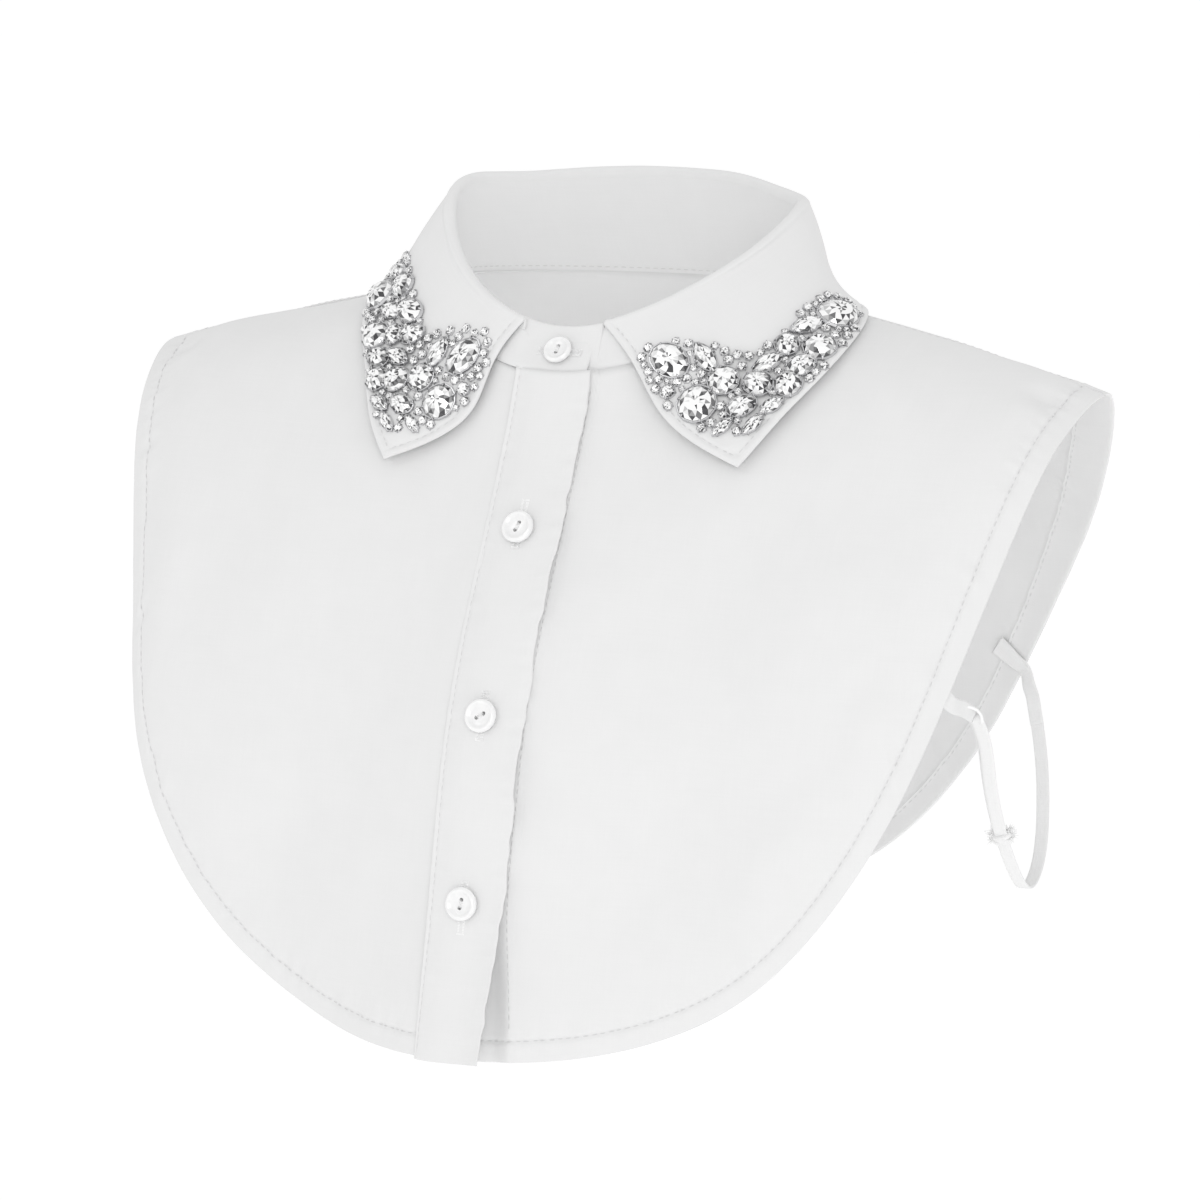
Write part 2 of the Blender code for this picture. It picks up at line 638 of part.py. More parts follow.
def sweep(name, path, wide_way, half_width, half_thick, mat):
    """Flat band along a path; wide_way and the halves are given per point."""
    along = unit(np.gradient(path, axis=0))
    wide = unit(wide_way - along * np.sum(wide_way * along, axis=-1, keepdims=True))
    thin = np.cross(along, wide)
    half_width = np.broadcast_to(half_width, len(path))[:, None]
    half_thick = np.broadcast_to(half_thick, len(path))[:, None]
    corners = [path + wide * half_width * a + thin * half_thick * b
               for a, b in ((-1, -1), (1, -1), (1, 1), (-1, 1))]
    verts = np.stack(corners, 1).reshape(-1, 3)
    faces = [(0, 1, 2, 3)]
    last = 4 * (len(path) - 1)
    faces.append((last + 3, last + 2, last + 1, last))
    for i in range(len(path) - 1):
        for j in range(4):
            a, b = 4 * i + j, 4 * i + (j + 1) % 4
            faces.append((a, a + 4, b + 4, b))
    return add_object(name, verts, faces, mat)


def smooth_path(points, steps):
    points = np.array(points, float)
    run = np.concatenate([[0], np.cumsum(np.linalg.norm(np.diff(points, axis=0), axis=-1))])
    at = spline(run, points)
    return at(np.linspace(0, run[-1], steps)), run


def tab_path(station, strap_end, clear):
    """From the hem's inner face, out past the edge, to just before the strap."""
    length = line_length(station)
    inner = CLOTH / 2 + HEM_RAISE_IN + SEAM_GAP + TAB["thick"] / 2
    points = []
    for reach in (-TAB["inside"], -TAB["inside"] / 2, 0.5):
        r = np.array(1 + reach / length)
        points.append(body(station, r) - outward(body, np.array(station), r) * inner)
    last = strap_end + unit(points[-1] - strap_end) * clear
    points.append((points[-1] + last) / 2)
    points.append(last)
    return smooth_path(points, 9)[0]


def strap(side, word, elastic):
    mirror = np.array([side, 1, 1])
    path, run = smooth_path(STRAP_PATH, STRAP["steps"])
    reach = run[-1] * np.linspace(0, 1, STRAP["steps"])
    knot_reach = run[STRAP["knot_at"]]
    doubled = reach < knot_reach + STRAP_KNOT["length"] / 2
    thick = np.where(doubled, STRAP["doubled"], STRAP["thick"])
    ends = path[-1] - path[0]
    wide_way = unit(np.array([ends[1], -ends[0], 0.0])) * np.ones_like(path)
    sweep(f"strap_{word}", path * mirror, wide_way * mirror,
          STRAP["width"] / 2, thick / 2, elastic)
    for end, station, point in (("front", TAB["front_station"], path[0]),
                                ("back", TAB["back_station"], path[-1])):
        tab = tab_path(station, point, SEAM_GAP + TAB["thick"] / 2)
        flat_way = np.cross(np.gradient(tab, axis=0), outward(body, np.array(station), np.array(0.97)))
        sweep(f"strap_tab_{end}_{word}", tab * mirror, flat_way * mirror,
              TAB["width"] / 2, TAB["thick"] / 2, elastic)
    knot_ring(f"strap_knot_{word}", path, reach, knot_reach, wide_way[0], mirror, elastic)


def knot_ring(name, path, reach, knot_reach, wide_way, mirror, elastic):
    """Band tied round the doubled elastic: a short tube it passes through."""
    k = STRAP_KNOT
    i = int(np.argmin(np.abs(reach - knot_reach)))
    along = unit(path[i + 1] - path[i - 1])
    wide = unit(wide_way - along * (wide_way @ along))
    thin = np.cross(along, wide)
    angle = np.linspace(0, 2 * np.pi, 16, endpoint=False)
    square = np.stack([np.cos(angle), np.sin(angle)], -1)
    square = np.sign(square) * np.abs(square)**0.35
    hole = np.array([STRAP["width"], STRAP["doubled"]]) / 2 + k["clear"]
    verts = []
    for shift in (-k["length"] / 2, k["length"] / 2):
        for half in (hole, hole + k["wall"]):
            rim = square * half
            verts.append(path[i] + along * shift + rim[:, :1] * wide + rim[:, 1:] * thin)
    verts = np.concatenate(verts) * mirror
    faces = []
    for a in range(16):
        b = (a + 1) % 16
        for low, high in ((0, 16), (16, 48), (48, 32), (32, 0)):
            faces.append((low + a, low + b, high + b, high + a))
    add_object(name, verts, faces, elastic)


def main():
    for obj in list(bpy.data.objects):
        bpy.data.objects.remove(obj)
    cotton = material("cotton", (0.83, 0.83, 0.82), 0.85)
    elastic = material("elastic", (0.86, 0.86, 0.85), 0.7)
    pearl = material("pearl_button", (0.9, 0.9, 0.89), 0.25)
    glass = material("stone_glass", (0.45, 0.45, 0.47), 0.08)
    body_panels(cotton)
    collar_stand(cotton)
    collar_fall(cotton)
    placket(cotton)
    buttons(pearl)
    motif("stones_left", 1, glass)
    motif("stones_right", -1, glass)
    strap(1, "left", elastic)
    strap(-1, "right", elastic)


main()
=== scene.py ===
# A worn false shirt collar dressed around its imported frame: shirting shells with
# hems and creases, topstitching, buttons, stone motifs and elastic side straps.
# Shapes are worked out in millimetres and become metres when a mesh is made.
import math

import bmesh
import bpy
import numpy as np
from mathutils import Matrix, Vector


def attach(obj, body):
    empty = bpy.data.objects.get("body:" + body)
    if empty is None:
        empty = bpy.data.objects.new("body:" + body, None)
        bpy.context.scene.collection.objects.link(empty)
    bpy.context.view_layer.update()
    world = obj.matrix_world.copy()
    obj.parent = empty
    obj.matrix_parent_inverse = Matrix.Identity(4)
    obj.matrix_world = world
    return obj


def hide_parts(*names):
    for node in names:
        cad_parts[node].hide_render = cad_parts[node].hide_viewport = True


mm = 0.001

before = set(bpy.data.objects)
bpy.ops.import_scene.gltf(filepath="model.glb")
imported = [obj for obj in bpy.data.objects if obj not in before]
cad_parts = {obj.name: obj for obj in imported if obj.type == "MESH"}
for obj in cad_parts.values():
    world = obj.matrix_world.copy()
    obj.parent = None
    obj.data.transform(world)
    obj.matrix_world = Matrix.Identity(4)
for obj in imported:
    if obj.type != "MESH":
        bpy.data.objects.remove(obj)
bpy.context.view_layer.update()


# Camera, floor and light
view = dict(azimuth=25.0, elevation=7.5, roll=1.2, distance=1750.0, fieldWidth=408.0,
            aimRight=-10.2, aimUp=-102.7, sensor=36.0, farClip=100.0)
floor = dict(height=-0.62, radius=30.0, sides=96, colour=(0.97, 0.97, 0.97), roughness=0.9,
             glow=0.175)
studio = dict(seenStrength=1.045, worldStrength=0.86, aim=(0, 0, -0.1),
              keyPlace=(-1.3, -2.0, 1.9), keyPower=3.0, keySize=0.9,
              fillPlace=(1.15, -1.95, 0.42), fillPower=8.0, fillSize=1.0)


def placeObject(name, data):
    obj = bpy.data.objects.new(name, data)
    bpy.context.scene.collection.objects.link(obj)
    return obj


def addCamera():
    turn, tip, roll = (math.radians(view[k]) for k in ("azimuth", "elevation", "roll"))
    look = Vector((-math.sin(turn) * math.cos(tip), math.cos(turn) * math.cos(tip), -math.sin(tip)))
    level = Vector((math.cos(turn), math.sin(turn), 0))
    upright = level.cross(look)
    right = level * math.cos(roll) + upright * math.sin(roll)
    up = upright * math.cos(roll) - level * math.sin(roll)
    aim = right * view["aimRight"] + up * view["aimUp"]
    place = (aim - look * view["distance"]) * mm
    data = bpy.data.cameras.new("collarCamera")
    data.sensor_width = view["sensor"]
    data.lens = view["sensor"] * view["distance"] / view["fieldWidth"]
    data.clip_end = view["farClip"]
    camera = placeObject("collarCamera", data)
    camera.matrix_world = Matrix((
        (right.x, up.x, -look.x, place.x), (right.y, up.y, -look.y, place.y),
        (right.z, up.z, -look.z, place.z), (0, 0, 0, 1)))
    bpy.context.scene.camera = camera


def addLight(name, place, power, size):
    data = bpy.data.lights.new(name, "AREA")
    data.energy = power
    data.shape = "DISK"
    data.size = size
    light = placeObject(name, data)
    light.location = place
    toAim = Vector(studio["aim"]) - Vector(place)
    light.rotation_euler = toAim.to_track_quat("-Z", "Y").to_euler()


# The camera sees a white world, and the cloth is lit by a slightly dimmer one
def addStudio():
    world = bpy.data.worlds.new("paleStudio")
    world.use_nodes = True
    tree = world.node_tree
    lighting = tree.nodes["Background"]
    lighting.inputs["Color"].default_value = (1, 1, 1, 1)
    lighting.inputs["Strength"].default_value = studio["worldStrength"]
    backdrop = addNode(tree, "ShaderNodeBackground",
                       {"Color": (1, 1, 1, 1), "Strength": studio["seenStrength"]})
    seen = addNode(tree, "ShaderNodeLightPath")
    mixed = addNode(tree, "ShaderNodeMixShader", {
        0: seen.outputs["Is Camera Ray"], 1: lighting.outputs["Background"],
        2: backdrop.outputs["Background"]})
    tree.links.new(mixed.outputs["Shader"], tree.nodes["World Output"].inputs["Surface"])
    bpy.context.scene.world = world
    for lamp in ("key", "fill"):
        place, power, size = (studio[lamp + word] for word in ("Place", "Power", "Size"))
        addLight(f"{lamp}Light", place, power, size)
    bpy.context.scene.view_settings.view_transform = "Standard"


def addFloor():
    mesh = bpy.data.meshes.new("floor")
    bm = bmesh.new()
    bmesh.ops.create_circle(bm, cap_ends=True, radius=floor["radius"], segments=floor["sides"])
    bm.to_mesh(mesh)
    bm.free()
    mesh.transform(Matrix.Translation((0, 0, floor["height"])))
    mesh.materials.append(newFinish("paleFloor", {
        "Base Color": (*floor["colour"], 1), "Roughness": floor["roughness"],
        "Emission Color": (1, 1, 1, 1), "Emission Strength": floor["glow"]}))
    placeObject("floor", mesh)


# Materials

def newFinish(name, shading):
    mat = bpy.data.materials.new(name)
    mat.use_nodes = True
    shader = mat.node_tree.nodes["Principled BSDF"]
    for socket, value in shading.items():
        shader.inputs[socket].default_value = value
    return mat


# kind is a node type; values sets sockets by name or index, and a node's output in
# their place is linked
def addNode(tree, kind, values=None, **settings):
    node = tree.nodes.new(kind)
    for key, value in settings.items():
        setattr(node, key, value)
    for key, value in (values or {}).items():
        if isinstance(value, bpy.types.NodeSocket):
            tree.links.new(value, node.inputs[key])
        else:
            node.inputs[key].default_value = value
    return node


def newGroup(name, inputs, outputs):
    group = bpy.data.node_groups.new(name, "ShaderNodeTree")
    for label, kind, default in inputs:
        socket = group.interface.new_socket(label, in_out="INPUT", socket_type=kind)
        if default is not None:
            socket.default_value = default
    for label, kind in outputs:
        group.interface.new_socket(label, in_out="OUTPUT", socket_type=kind)
    return group, group.nodes.new("NodeGroupInput"), group.nodes.new("NodeGroupOutput")


# First output of a maths node on these values
def mathOf(tree, operation, *values, kind="ShaderNodeMath"):
    return addNode(tree, kind, dict(enumerate(values)), operation=operation).outputs[0]


# Base colour from dark to light as the share goes from 0 to 1
def blendBase(tree, share, look):
    blend = addNode(tree, "ShaderNodeMix", {"Factor": share, 6: (*look["dark"], 1),
                                            7: (*look["light"], 1)}, data_type="RGBA")
    tree.links.new(blend.outputs[2], tree.nodes["Principled BSDF"].inputs["Base Color"])


yarn = dict(warp=(0.045, 1.7, 1.0), weft=(1.9, 0.05, 1.0), scale=1.0, detail=2.0, roughness=0.6,
            height=1.1, mottleScale=0.09, mottleDetail=3.0, mottleShade=0.6)


# Plain weave over millimetres of cloth: crossing threads, uneven yarns, soft mottling
def weaveGroup():
    tree, given, out = newGroup(
        "plainWeave",
        (("Cloth mm", "NodeSocketVector", None), ("Thread pitch", "NodeSocketFloat", 0.5),
         ("Yarn unevenness", "NodeSocketFloat", 1.0)),
        (("Height", "NodeSocketFloat"), ("Shade", "NodeSocketFloat")))
    clothMm = given.outputs["Cloth mm"]
    split = addNode(tree, "ShaderNodeSeparateXYZ", {0: clothMm})
    bars = []
    for axis in (0, 1):
        threads = mathOf(tree, "DIVIDE", split.outputs[axis], given.outputs["Thread pitch"])
        bars.append(mathOf(tree, "SINE", mathOf(tree, "MULTIPLY", threads, math.pi)))
    lift = mathOf(tree, "ABSOLUTE", mathOf(tree, "MULTIPLY", *bars))
    yarns = []
    for stretch in (yarn["warp"], yarn["weft"]):
        scaled = mathOf(tree, "MULTIPLY", clothMm, stretch, kind="ShaderNodeVectorMath")
        noise = addNode(tree, "ShaderNodeTexNoise", {
            "Vector": scaled, "Scale": yarn["scale"], "Detail": yarn["detail"],
            "Roughness": yarn["roughness"]})
        yarns.append(noise.outputs["Fac"])
    aboutZero = mathOf(tree, "SUBTRACT", mathOf(tree, "ADD", *yarns), 1.0)
    uneven = mathOf(tree, "MULTIPLY", aboutZero, given.outputs["Yarn unevenness"])
    mottle = addNode(tree, "ShaderNodeTexNoise", {
        "Vector": clothMm, "Scale": yarn["mottleScale"], "Detail": yarn["mottleDetail"]})
    patches = mathOf(tree, "SUBTRACT", mottle.outputs["Fac"], 0.5)
    height = mathOf(tree, "MULTIPLY_ADD", uneven, yarn["height"], lift)
    shade = mathOf(tree, "MULTIPLY_ADD", patches, yarn["mottleShade"], uneven)
    tree.links.new(height, out.inputs["Height"])
    tree.links.new(shade, out.inputs["Shade"])


wovenLook = dict(mapMm=100, shadeReach=0.35, bumpDistance=0.00012)
wovenShading = {"Roughness": 0.9, "Sheen Weight": 0.15, "Sheen Roughness": 0.6,
                "Specular IOR Level": 0.2}
cottonLook = dict(light=(0.79, 0.79, 0.79), dark=(0.76, 0.76, 0.76), pitch=0.3, bump=0.14,
                  uneven=0.45)
elasticLook = dict(light=(0.85, 0.85, 0.85), dark=(0.82, 0.82, 0.82), pitch=0.6, bump=0.4,
                   uneven=1.0)


# Woven finish over the cloth's own UV map, one unit of which is mapMm
def wovenFinish(name, look):
    mat = newFinish(name, wovenShading)
    tree = mat.node_tree
    grain = addNode(tree, "ShaderNodeUVMap", uv_map="cloth")
    clothMm = mathOf(tree, "MULTIPLY", grain.outputs[0], (wovenLook["mapMm"],) * 3,
                     kind="ShaderNodeVectorMath")
    weave = addNode(tree, "ShaderNodeGroup", {
        "Cloth mm": clothMm, "Thread pitch": look["pitch"], "Yarn unevenness": look["uneven"]},
        node_tree=bpy.data.node_groups["plainWeave"])
    tint = addNode(tree, "ShaderNodeMapRange", {
        "Value": weave.outputs["Shade"], "From Min": -wovenLook["shadeReach"],
        "From Max": wovenLook["shadeReach"]})
    blendBase(tree, tint.outputs[0], look)
    relief = addNode(tree, "ShaderNodeBump", {
        "Height": weave.outputs["Height"], "Strength": look["bump"],
        "Distance": wovenLook["bumpDistance"]})
    tree.links.new(relief.outputs[0], tree.nodes["Principled BSDF"].inputs["Normal"])
    return mat


pearlLook = dict(dark=(0.78, 0.78, 0.79), light=(0.94, 0.94, 0.93), cloudScale=260.0,
                 cloudDetail=3.0, cloudSwirl=1.2)
pearlShading = {"Roughness": 0.22, "Specular IOR Level": 0.6, "Coat Weight": 0.6,
                "Coat Roughness": 0.06}


def pearlFinish():
    mat = newFinish("pearlButton", pearlShading)
    tree = mat.node_tree
    place = addNode(tree, "ShaderNodeTexCoord")
    cloud = addNode(tree, "ShaderNodeTexNoise", {
        "Vector": place.outputs["Object"], "Scale": pearlLook["cloudScale"],
        "Detail": pearlLook["cloudDetail"], "Distortion": pearlLook["cloudSwirl"]})
    blendBase(tree, cloud.outputs["Fac"], pearlLook)
    return mat


# Darkest and brightest of the painted facet reflections
paintedGlintLook = dict(dark=(0.012, 0.012, 0.016), light=(1.0, 1.0, 1.0))
paintedGlintGlassShading = {"Metallic": 0.35, "Roughness": 0.08, "Coat Weight": 1.0, "Coat Roughness": 0.02}


# Opaque glass with painted reflections: each facet's painted glint shade, from near black to white,
# is stored on its face
def paintedGlintGlassFinish():
    mat = newFinish("glassPaintedGlints", paintedGlintGlassShading)
    shade = addNode(mat.node_tree, "ShaderNodeAttribute", attribute_name="paintedGlintShade")
    blendBase(mat.node_tree, shade.outputs["Fac"], paintedGlintLook)
    return mat


silverShading = {"Base Color": (0.62, 0.62, 0.63, 1), "Roughness": 0.26, "Metallic": 1.0}
whiteThreadShading = {"Base Color": (0.92, 0.92, 0.92, 1), "Roughness": 0.6}
# Topstitch thread greyed below the cloth's white: painted shade along the stitch lines
shadeGreyedThreadShading = {"Base Color": (0.67, 0.67, 0.67, 1), "Roughness": 0.8}


# Maths shared by the pieces

def unitOf(v):
    return v / np.linalg.norm(v, axis=-1, keepdims=True)


# Natural cubic through rows of values at rising knots
def smoothCurve(knots, values):
    knots, values = np.array(knots, float), np.array(values, float)
    step = np.diff(knots)
    count = len(knots)
    system, bend = np.eye(count), np.zeros_like(values)
    slope = np.diff(values, axis=0) / step[:, None]
    for i in range(1, count - 1):
        system[i, i - 1:i + 2] = step[i - 1], 2 * (step[i - 1] + step[i]), step[i]
        bend[i] = 6 * (slope[i] - slope[i - 1])
    bend = np.linalg.solve(system, bend)

    def at(t):
        t = np.asarray(t, float)
        i = np.clip(np.searchsorted(knots, t) - 1, 0, count - 2)
        h = step[i][..., None]
        f = ((t - knots[i]) / step[i])[..., None]
        g = 1 - f
        curve = ((g**3 - g) * bend[i] + (f**3 - f) * bend[i + 1]) * h**2 / 6
        return g * values[i] + f * values[i + 1] + curve
    return at


# 0 to 1 with soft ends
def ease(k):
    k = np.clip(k, 0, 1)
    return k * k * (3 - 2 * k)


# Distance along rows of points, 0 at the first
def runOf(points):
    steps = np.linalg.norm(np.diff(points, axis=0), axis=-1)
    return np.concatenate([np.zeros((1, *steps.shape[1:])), np.cumsum(steps, axis=0)])


# Point at a place along a run of points
def pointAt(place, run, points):
    return np.stack([np.interp(place, run, points[:, k]) for k in range(3)], -1)


# 1 at no distance, fading over the reach to either side
def bell(distance, reach):
    return np.exp(-(distance / reach)**2)


upward = np.array([0, 0, 1.0])
anyPhase = 6.28  # radians, a full wave


# Smooth uneven waves over points, about -1 to 1, the same each run
def ripple(points, longest, shortest, waves, seed):
    rng = np.random.default_rng(seed)
    total = np.zeros(points.shape[:-1])
    weight = 0
    for length in np.geomspace(longest, shortest, waves):
        way = rng.normal(size=3)
        way /= np.linalg.norm(way)
        size = length / longest
        total += size * np.sin(points @ way * 2 * np.pi / length + rng.uniform(0, anyPhase))
        weight += size**2
    return total / math.sqrt(weight)


# The same along a seam or an edge
def rippleAlong(run, longest, shortest, waves, seed):
    rng = np.random.default_rng(seed)
    total = np.zeros(np.shape(run))
    for length in np.geomspace(longest, shortest, waves):
        total += np.sin(run * 2 * np.pi / length + rng.uniform(0, anyPhase))
    return total / math.sqrt(waves)


creaseShape = dict(bow=0.12, fade=0.35)  # shares of the crease's length


# Height of one soft crease between two points of a flat view
def ridge(x, z, crease):
    x0, z0, x1, z1, width, depth = crease
    dx, dz = x1 - x0, z1 - z0
    length = math.hypot(dx, dz)
    along = ((x - x0) * dx + (z - z0) * dz) / length
    off = ((x - x0) * dz - (z - z0) * dx) / length
    off = off - creaseShape["bow"] * length * np.sin(np.pi * np.clip(along / length, 0, 1))
    faded = creaseShape["fade"] * length
    return depth * bell(off, width) * ease(along / faded) * ease((length - along) / faded)


# Mesh making

# Object from mm points, with faces turned outward; uv is one pair a point
def meshObject(name, verts, faces, mat, uv=None, smooth=True):
    mesh = bpy.data.meshes.new(name)
    mesh.from_pydata((np.asarray(verts) * mm).tolist(), [], faces)
    if uv is not None:
        layer = mesh.uv_layers.new(name="cloth")
        corner = np.empty(len(mesh.loops), int)
        mesh.loops.foreach_get("vertex_index", corner)
        layer.data.foreach_set("uv", (np.asarray(uv)[corner] / wovenLook["mapMm"]).ravel())
    bm = bmesh.new()
    bm.from_mesh(mesh)
    bmesh.ops.recalc_face_normals(bm, faces=bm.faces)
    bm.to_mesh(mesh)
    bm.free()
    mesh.materials.append(mat)
    if smooth:
        mesh.shade_smooth()
    return placeObject(name, mesh)


# Quads between rings of points, with a face over each end
def ringFaces(rings, count, first=0):
    faces = []
    for ring in range(rings - 1):
        for j in range(count):
            a, b = first + count * ring + j, first + count * ring + (j + 1) % count
            faces.append((a, b, b + count, a + count))
    last = first + count * (rings - 1)
    return faces + [tuple(range(first, first + count))[::-1], tuple(range(last, last + count))]


# Closed band or thread; sides holds one line of points for each corner of its section
def closedBand(name, sides, mat, uv=None):
    verts = np.stack(sides, 1).reshape(-1, 3)
    count = len(sides)
    faces = [list(range(count)), list(range(len(verts) - 1, len(verts) - count - 1, -1))]
    for i in range(len(sides[0]) - 1):
        for j in range(count):
            a, b = count * i + j, count * i + (j + 1) % count
            faces.append([a, a + count, b + count, b])
    return meshObject(name, verts, faces, mat, uv)


# Closed thin shell over a grid of middle points
def clothShell(name, middle, out, thickOut, thickIn, uv, mat):
    rows, cols = middle.shape[:2]
    thickOut = np.broadcast_to(thickOut, (rows, cols))[..., None]
    thickIn = np.broadcast_to(thickIn, (rows, cols))[..., None]
    verts = np.concatenate([(middle + out * thickOut).reshape(-1, 3),
                            (middle - out * thickIn).reshape(-1, 3)])
    half = rows * cols
    index = np.arange(half).reshape(rows, cols)
    quads = np.stack([index[:-1, :-1], index[:-1, 1:], index[1:, 1:], index[1:, :-1]], -1)
    quads = quads.reshape(-1, 4)
    border = np.concatenate([index[:, 0], index[-1, 1:], index[-2::-1, -1], index[0, -2:0:-1]])
    following = np.roll(border, -1)
    rim = np.stack([border, following, half + following, half + border], -1)
    faces = np.concatenate([quads, half + quads[:, ::-1], rim]).tolist()
    return meshObject(name, verts, faces, mat, np.concatenate([uv.reshape(-1, 2)] * 2))


# Rides on the one body and stands for these CAD nodes
def dress(piece, nodes):
    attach(piece, "root")
    if nodes:
        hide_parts(*nodes)


# Copies set along lines: stitches, prongs, thread

# Sets one shape on each point: its Z along "stand", its X along "lie"
def copyTree():
    tree = bpy.data.node_groups.new("copiesOnPoints", "GeometryNodeTree")
    for label, kind in (("Geometry", "NodeSocketGeometry"), ("Shape", "NodeSocketObject"),
                        ("Finish", "NodeSocketMaterial")):
        tree.interface.new_socket(label, in_out="INPUT", socket_type=kind)
    tree.interface.new_socket("Geometry", in_out="OUTPUT", socket_type="NodeSocketGeometry")
    given, out = tree.nodes.new("NodeGroupInput"), tree.nodes.new("NodeGroupOutput")
    read = {}
    for label in ("stand", "lie", "size"):
        node = addNode(tree, "GeometryNodeInputNamedAttribute", {"Name": label},
                       data_type="FLOAT_VECTOR")
        read[label] = node.outputs[0]
    turn = addNode(tree, "FunctionNodeAxesToRotation", {0: read["stand"], 1: read["lie"]},
                   primary_axis="Z", secondary_axis="X")
    shape = addNode(tree, "GeometryNodeObjectInfo", {"Object": given.outputs["Shape"]})
    copies = addNode(tree, "GeometryNodeInstanceOnPoints", {
        "Points": given.outputs["Geometry"], "Instance": shape.outputs["Geometry"],
        "Rotation": turn.outputs[0], "Scale": read["size"]})
    real = addNode(tree, "GeometryNodeRealizeInstances", {"Geometry": copies.outputs[0]})
    finish = addNode(tree, "GeometryNodeSetMaterial", {"Geometry": real.outputs[0],
                                                       "Material": given.outputs["Finish"]})
    tree.links.new(finish.outputs[0], out.inputs[0])


# One mesh of copies of a shape; places in mm, directions as unit rows
def setCopies(name, shape, places, stands, lies, sizes, mat):
    places = np.asarray(places, float)
    mesh = bpy.data.meshes.new(name)
    mesh.from_pydata((places * mm).tolist(), [], [])
    for label, rows in (("stand", stands), ("lie", lies), ("size", sizes)):
        layer = mesh.attributes.new(label, "FLOAT_VECTOR", "POINT")
        spread = np.broadcast_to(rows, places.shape).astype(np.float32)
        layer.data.foreach_set("vector", spread.ravel())
    obj = placeObject(name, mesh)
    modifier = obj.modifiers.new("copies", "NODES")
    modifier.node_group = bpy.data.node_groups["copiesOnPoints"]
    sockets = {item.name: item.identifier for item in modifier.node_group.interface.items_tree
               if item.in_out == "INPUT"}
    modifier[sockets["Shape"]] = shape
    modifier[sockets["Finish"]] = mat
    bpy.context.view_layer.update()
    settled = obj.evaluated_get(bpy.context.evaluated_depsgraph_get())
    obj.data = bpy.data.meshes.new_from_object(settled)
    obj.modifiers.clear()
    return obj


thread = dict(length=2.1, gap=0.7, width=0.34, height=0.24, across=6, rings=7, sunk=0.75)


# One stitch: a thread lying along X, its ends dipping into the cloth
def stitchShape(mat):
    verts = []
    across, rings = thread["across"], thread["rings"]
    for i in range(rings):
        k = i / (rings - 1)
        swell = math.sqrt(max(1 - (2 * k - 1)**4, 0.02))
        for j in range(across):
            turn = 2 * math.pi * j / across
            rise = math.sin(turn) * swell + math.sin(math.pi * k) - thread["sunk"]
            aside = math.cos(turn) * swell
            verts.append(((k - 0.5) * thread["length"], aside * thread["width"] / 2,
                          rise * thread["height"] / 2))
    return meshObject("oneStitch", verts, ringFaces(rings, across), mat)


# Collects stitches line by line, then makes them one piece
class Sewing:
    def __init__(self):
        self.places, self.stands, self.lies, self.sizes = [], [], [], []

    def add(self, places, stands, lies, size=(1, 1, 1)):
        self.places.append(places)
        for rows, values in ((self.stands, stands), (self.lies, lies), (self.sizes, size)):
            rows.append(np.broadcast_to(np.array(values, float), places.shape))

    def line(self, points, outs):
        run = runOf(points)
        count = max(int(run[-1] / (thread["length"] + thread["gap"])), 1)
        middle = (np.arange(count) + 0.5) * run[-1] / count
        half = thread["length"] / 2
        lies = pointAt(middle + half, run, points) - pointAt(middle - half, run, points)
        self.add(pointAt(middle, run, points), unitOf(pointAt(middle, run, outs)), unitOf(lies))

    def copies(self, name, shape, mat):
        rows = (np.concatenate(each) for each in (self.places, self.stands, self.lies, self.sizes))
        return setCopies(name, shape, *rows, mat)

    def make(self, name, shape, mat, slot):
        dress(self.copies(name, shape, mat), [])


# The worn surface of the bib: the same named sizes as the part's own
# Its lines run from neck to hem. Stations number them: 0 at centre front, 8 at the left
# shoulder, 16 at centre back, minus on the right. t is a station, r a share of a line.

neckSeam = dict(halfX=61.0, frontY=-58.5, backY=52.0, frontZ=-21.0, backZ=5.5, dipDeg=100.0)
foldLine = dict(halfX=60.1, frontY=-51.5, backY=46.5, frontZ=-6.5, backZ=40.0, dipDeg=108.0,
                shiftX=-1.6)
bib = dict(cloth=0.5, turned=0.55, turnedPast=0.1, turnedOver=0.35, rim=0.9, curlReach=28.0,
           shoulder=8, farShoulder=24, centreBack=16, spareStations=4, slit=0.02,
           underlapEdge=-11.0, rightFrontEdge=-11.8)
# Neck angle, point of the edge, outward swell along the line and at its lower end
edgeColumns = ("station", "neckDeg", "x", "y", "z", "bust", "curl")
edgeRows = (
    ("centre_front", 0, 0, -125, -242, 11, 2),
    ("hem_front", 9, 40, -115, -239, 10, 3),
    ("hem", 18, 76, -103.5, -227, 9, 4),
    ("hem_turn", 28, 108, -99, -202, 7, 5),
    ("low_side", 39, 134.5, -91, -158, 4, 8),
    ("side", 51, 151, -73, -108, 2, 9),
    ("armhole", 64, 163, -53, -61, 1, 7),
    ("arm_top", 76, 169.5, -33, -35.2, 0, 4),
    ("shoulder", 88, 174, -7, -22.9, 0, 1),
    ("back_top", 99, 170, 14, -33.4, 0, 2),
    ("back_arm", 110, 160, 34, -56, 1, 3),
    ("back_side", 121, 147, 49, -81, 3, 4),
    ("back_mid", 133, 126.5, 60, -120, 5, 4),
    ("back_low", 145, 103, 66, -160, 6, 4),
    ("back_turn", 157, 69, 70, -195, 6, 3),
    ("back_hem", 169, 34, 73, -210, 6, 2),
    ("centre_back", 180, 0, 74, -214, 6, 2),
)
# How the worn hem strays from side to side: station, then x and z in mm
hemStray = {0: (0, 1.5), 1: (0, 1.7), 2: (0, 1.7), 3: (-0.8, 1.5), -3: (-0.8, -0.6),
            -4: (-2.2, -0.8), -5: (0.2, 0), -6: (0.6, 0)}


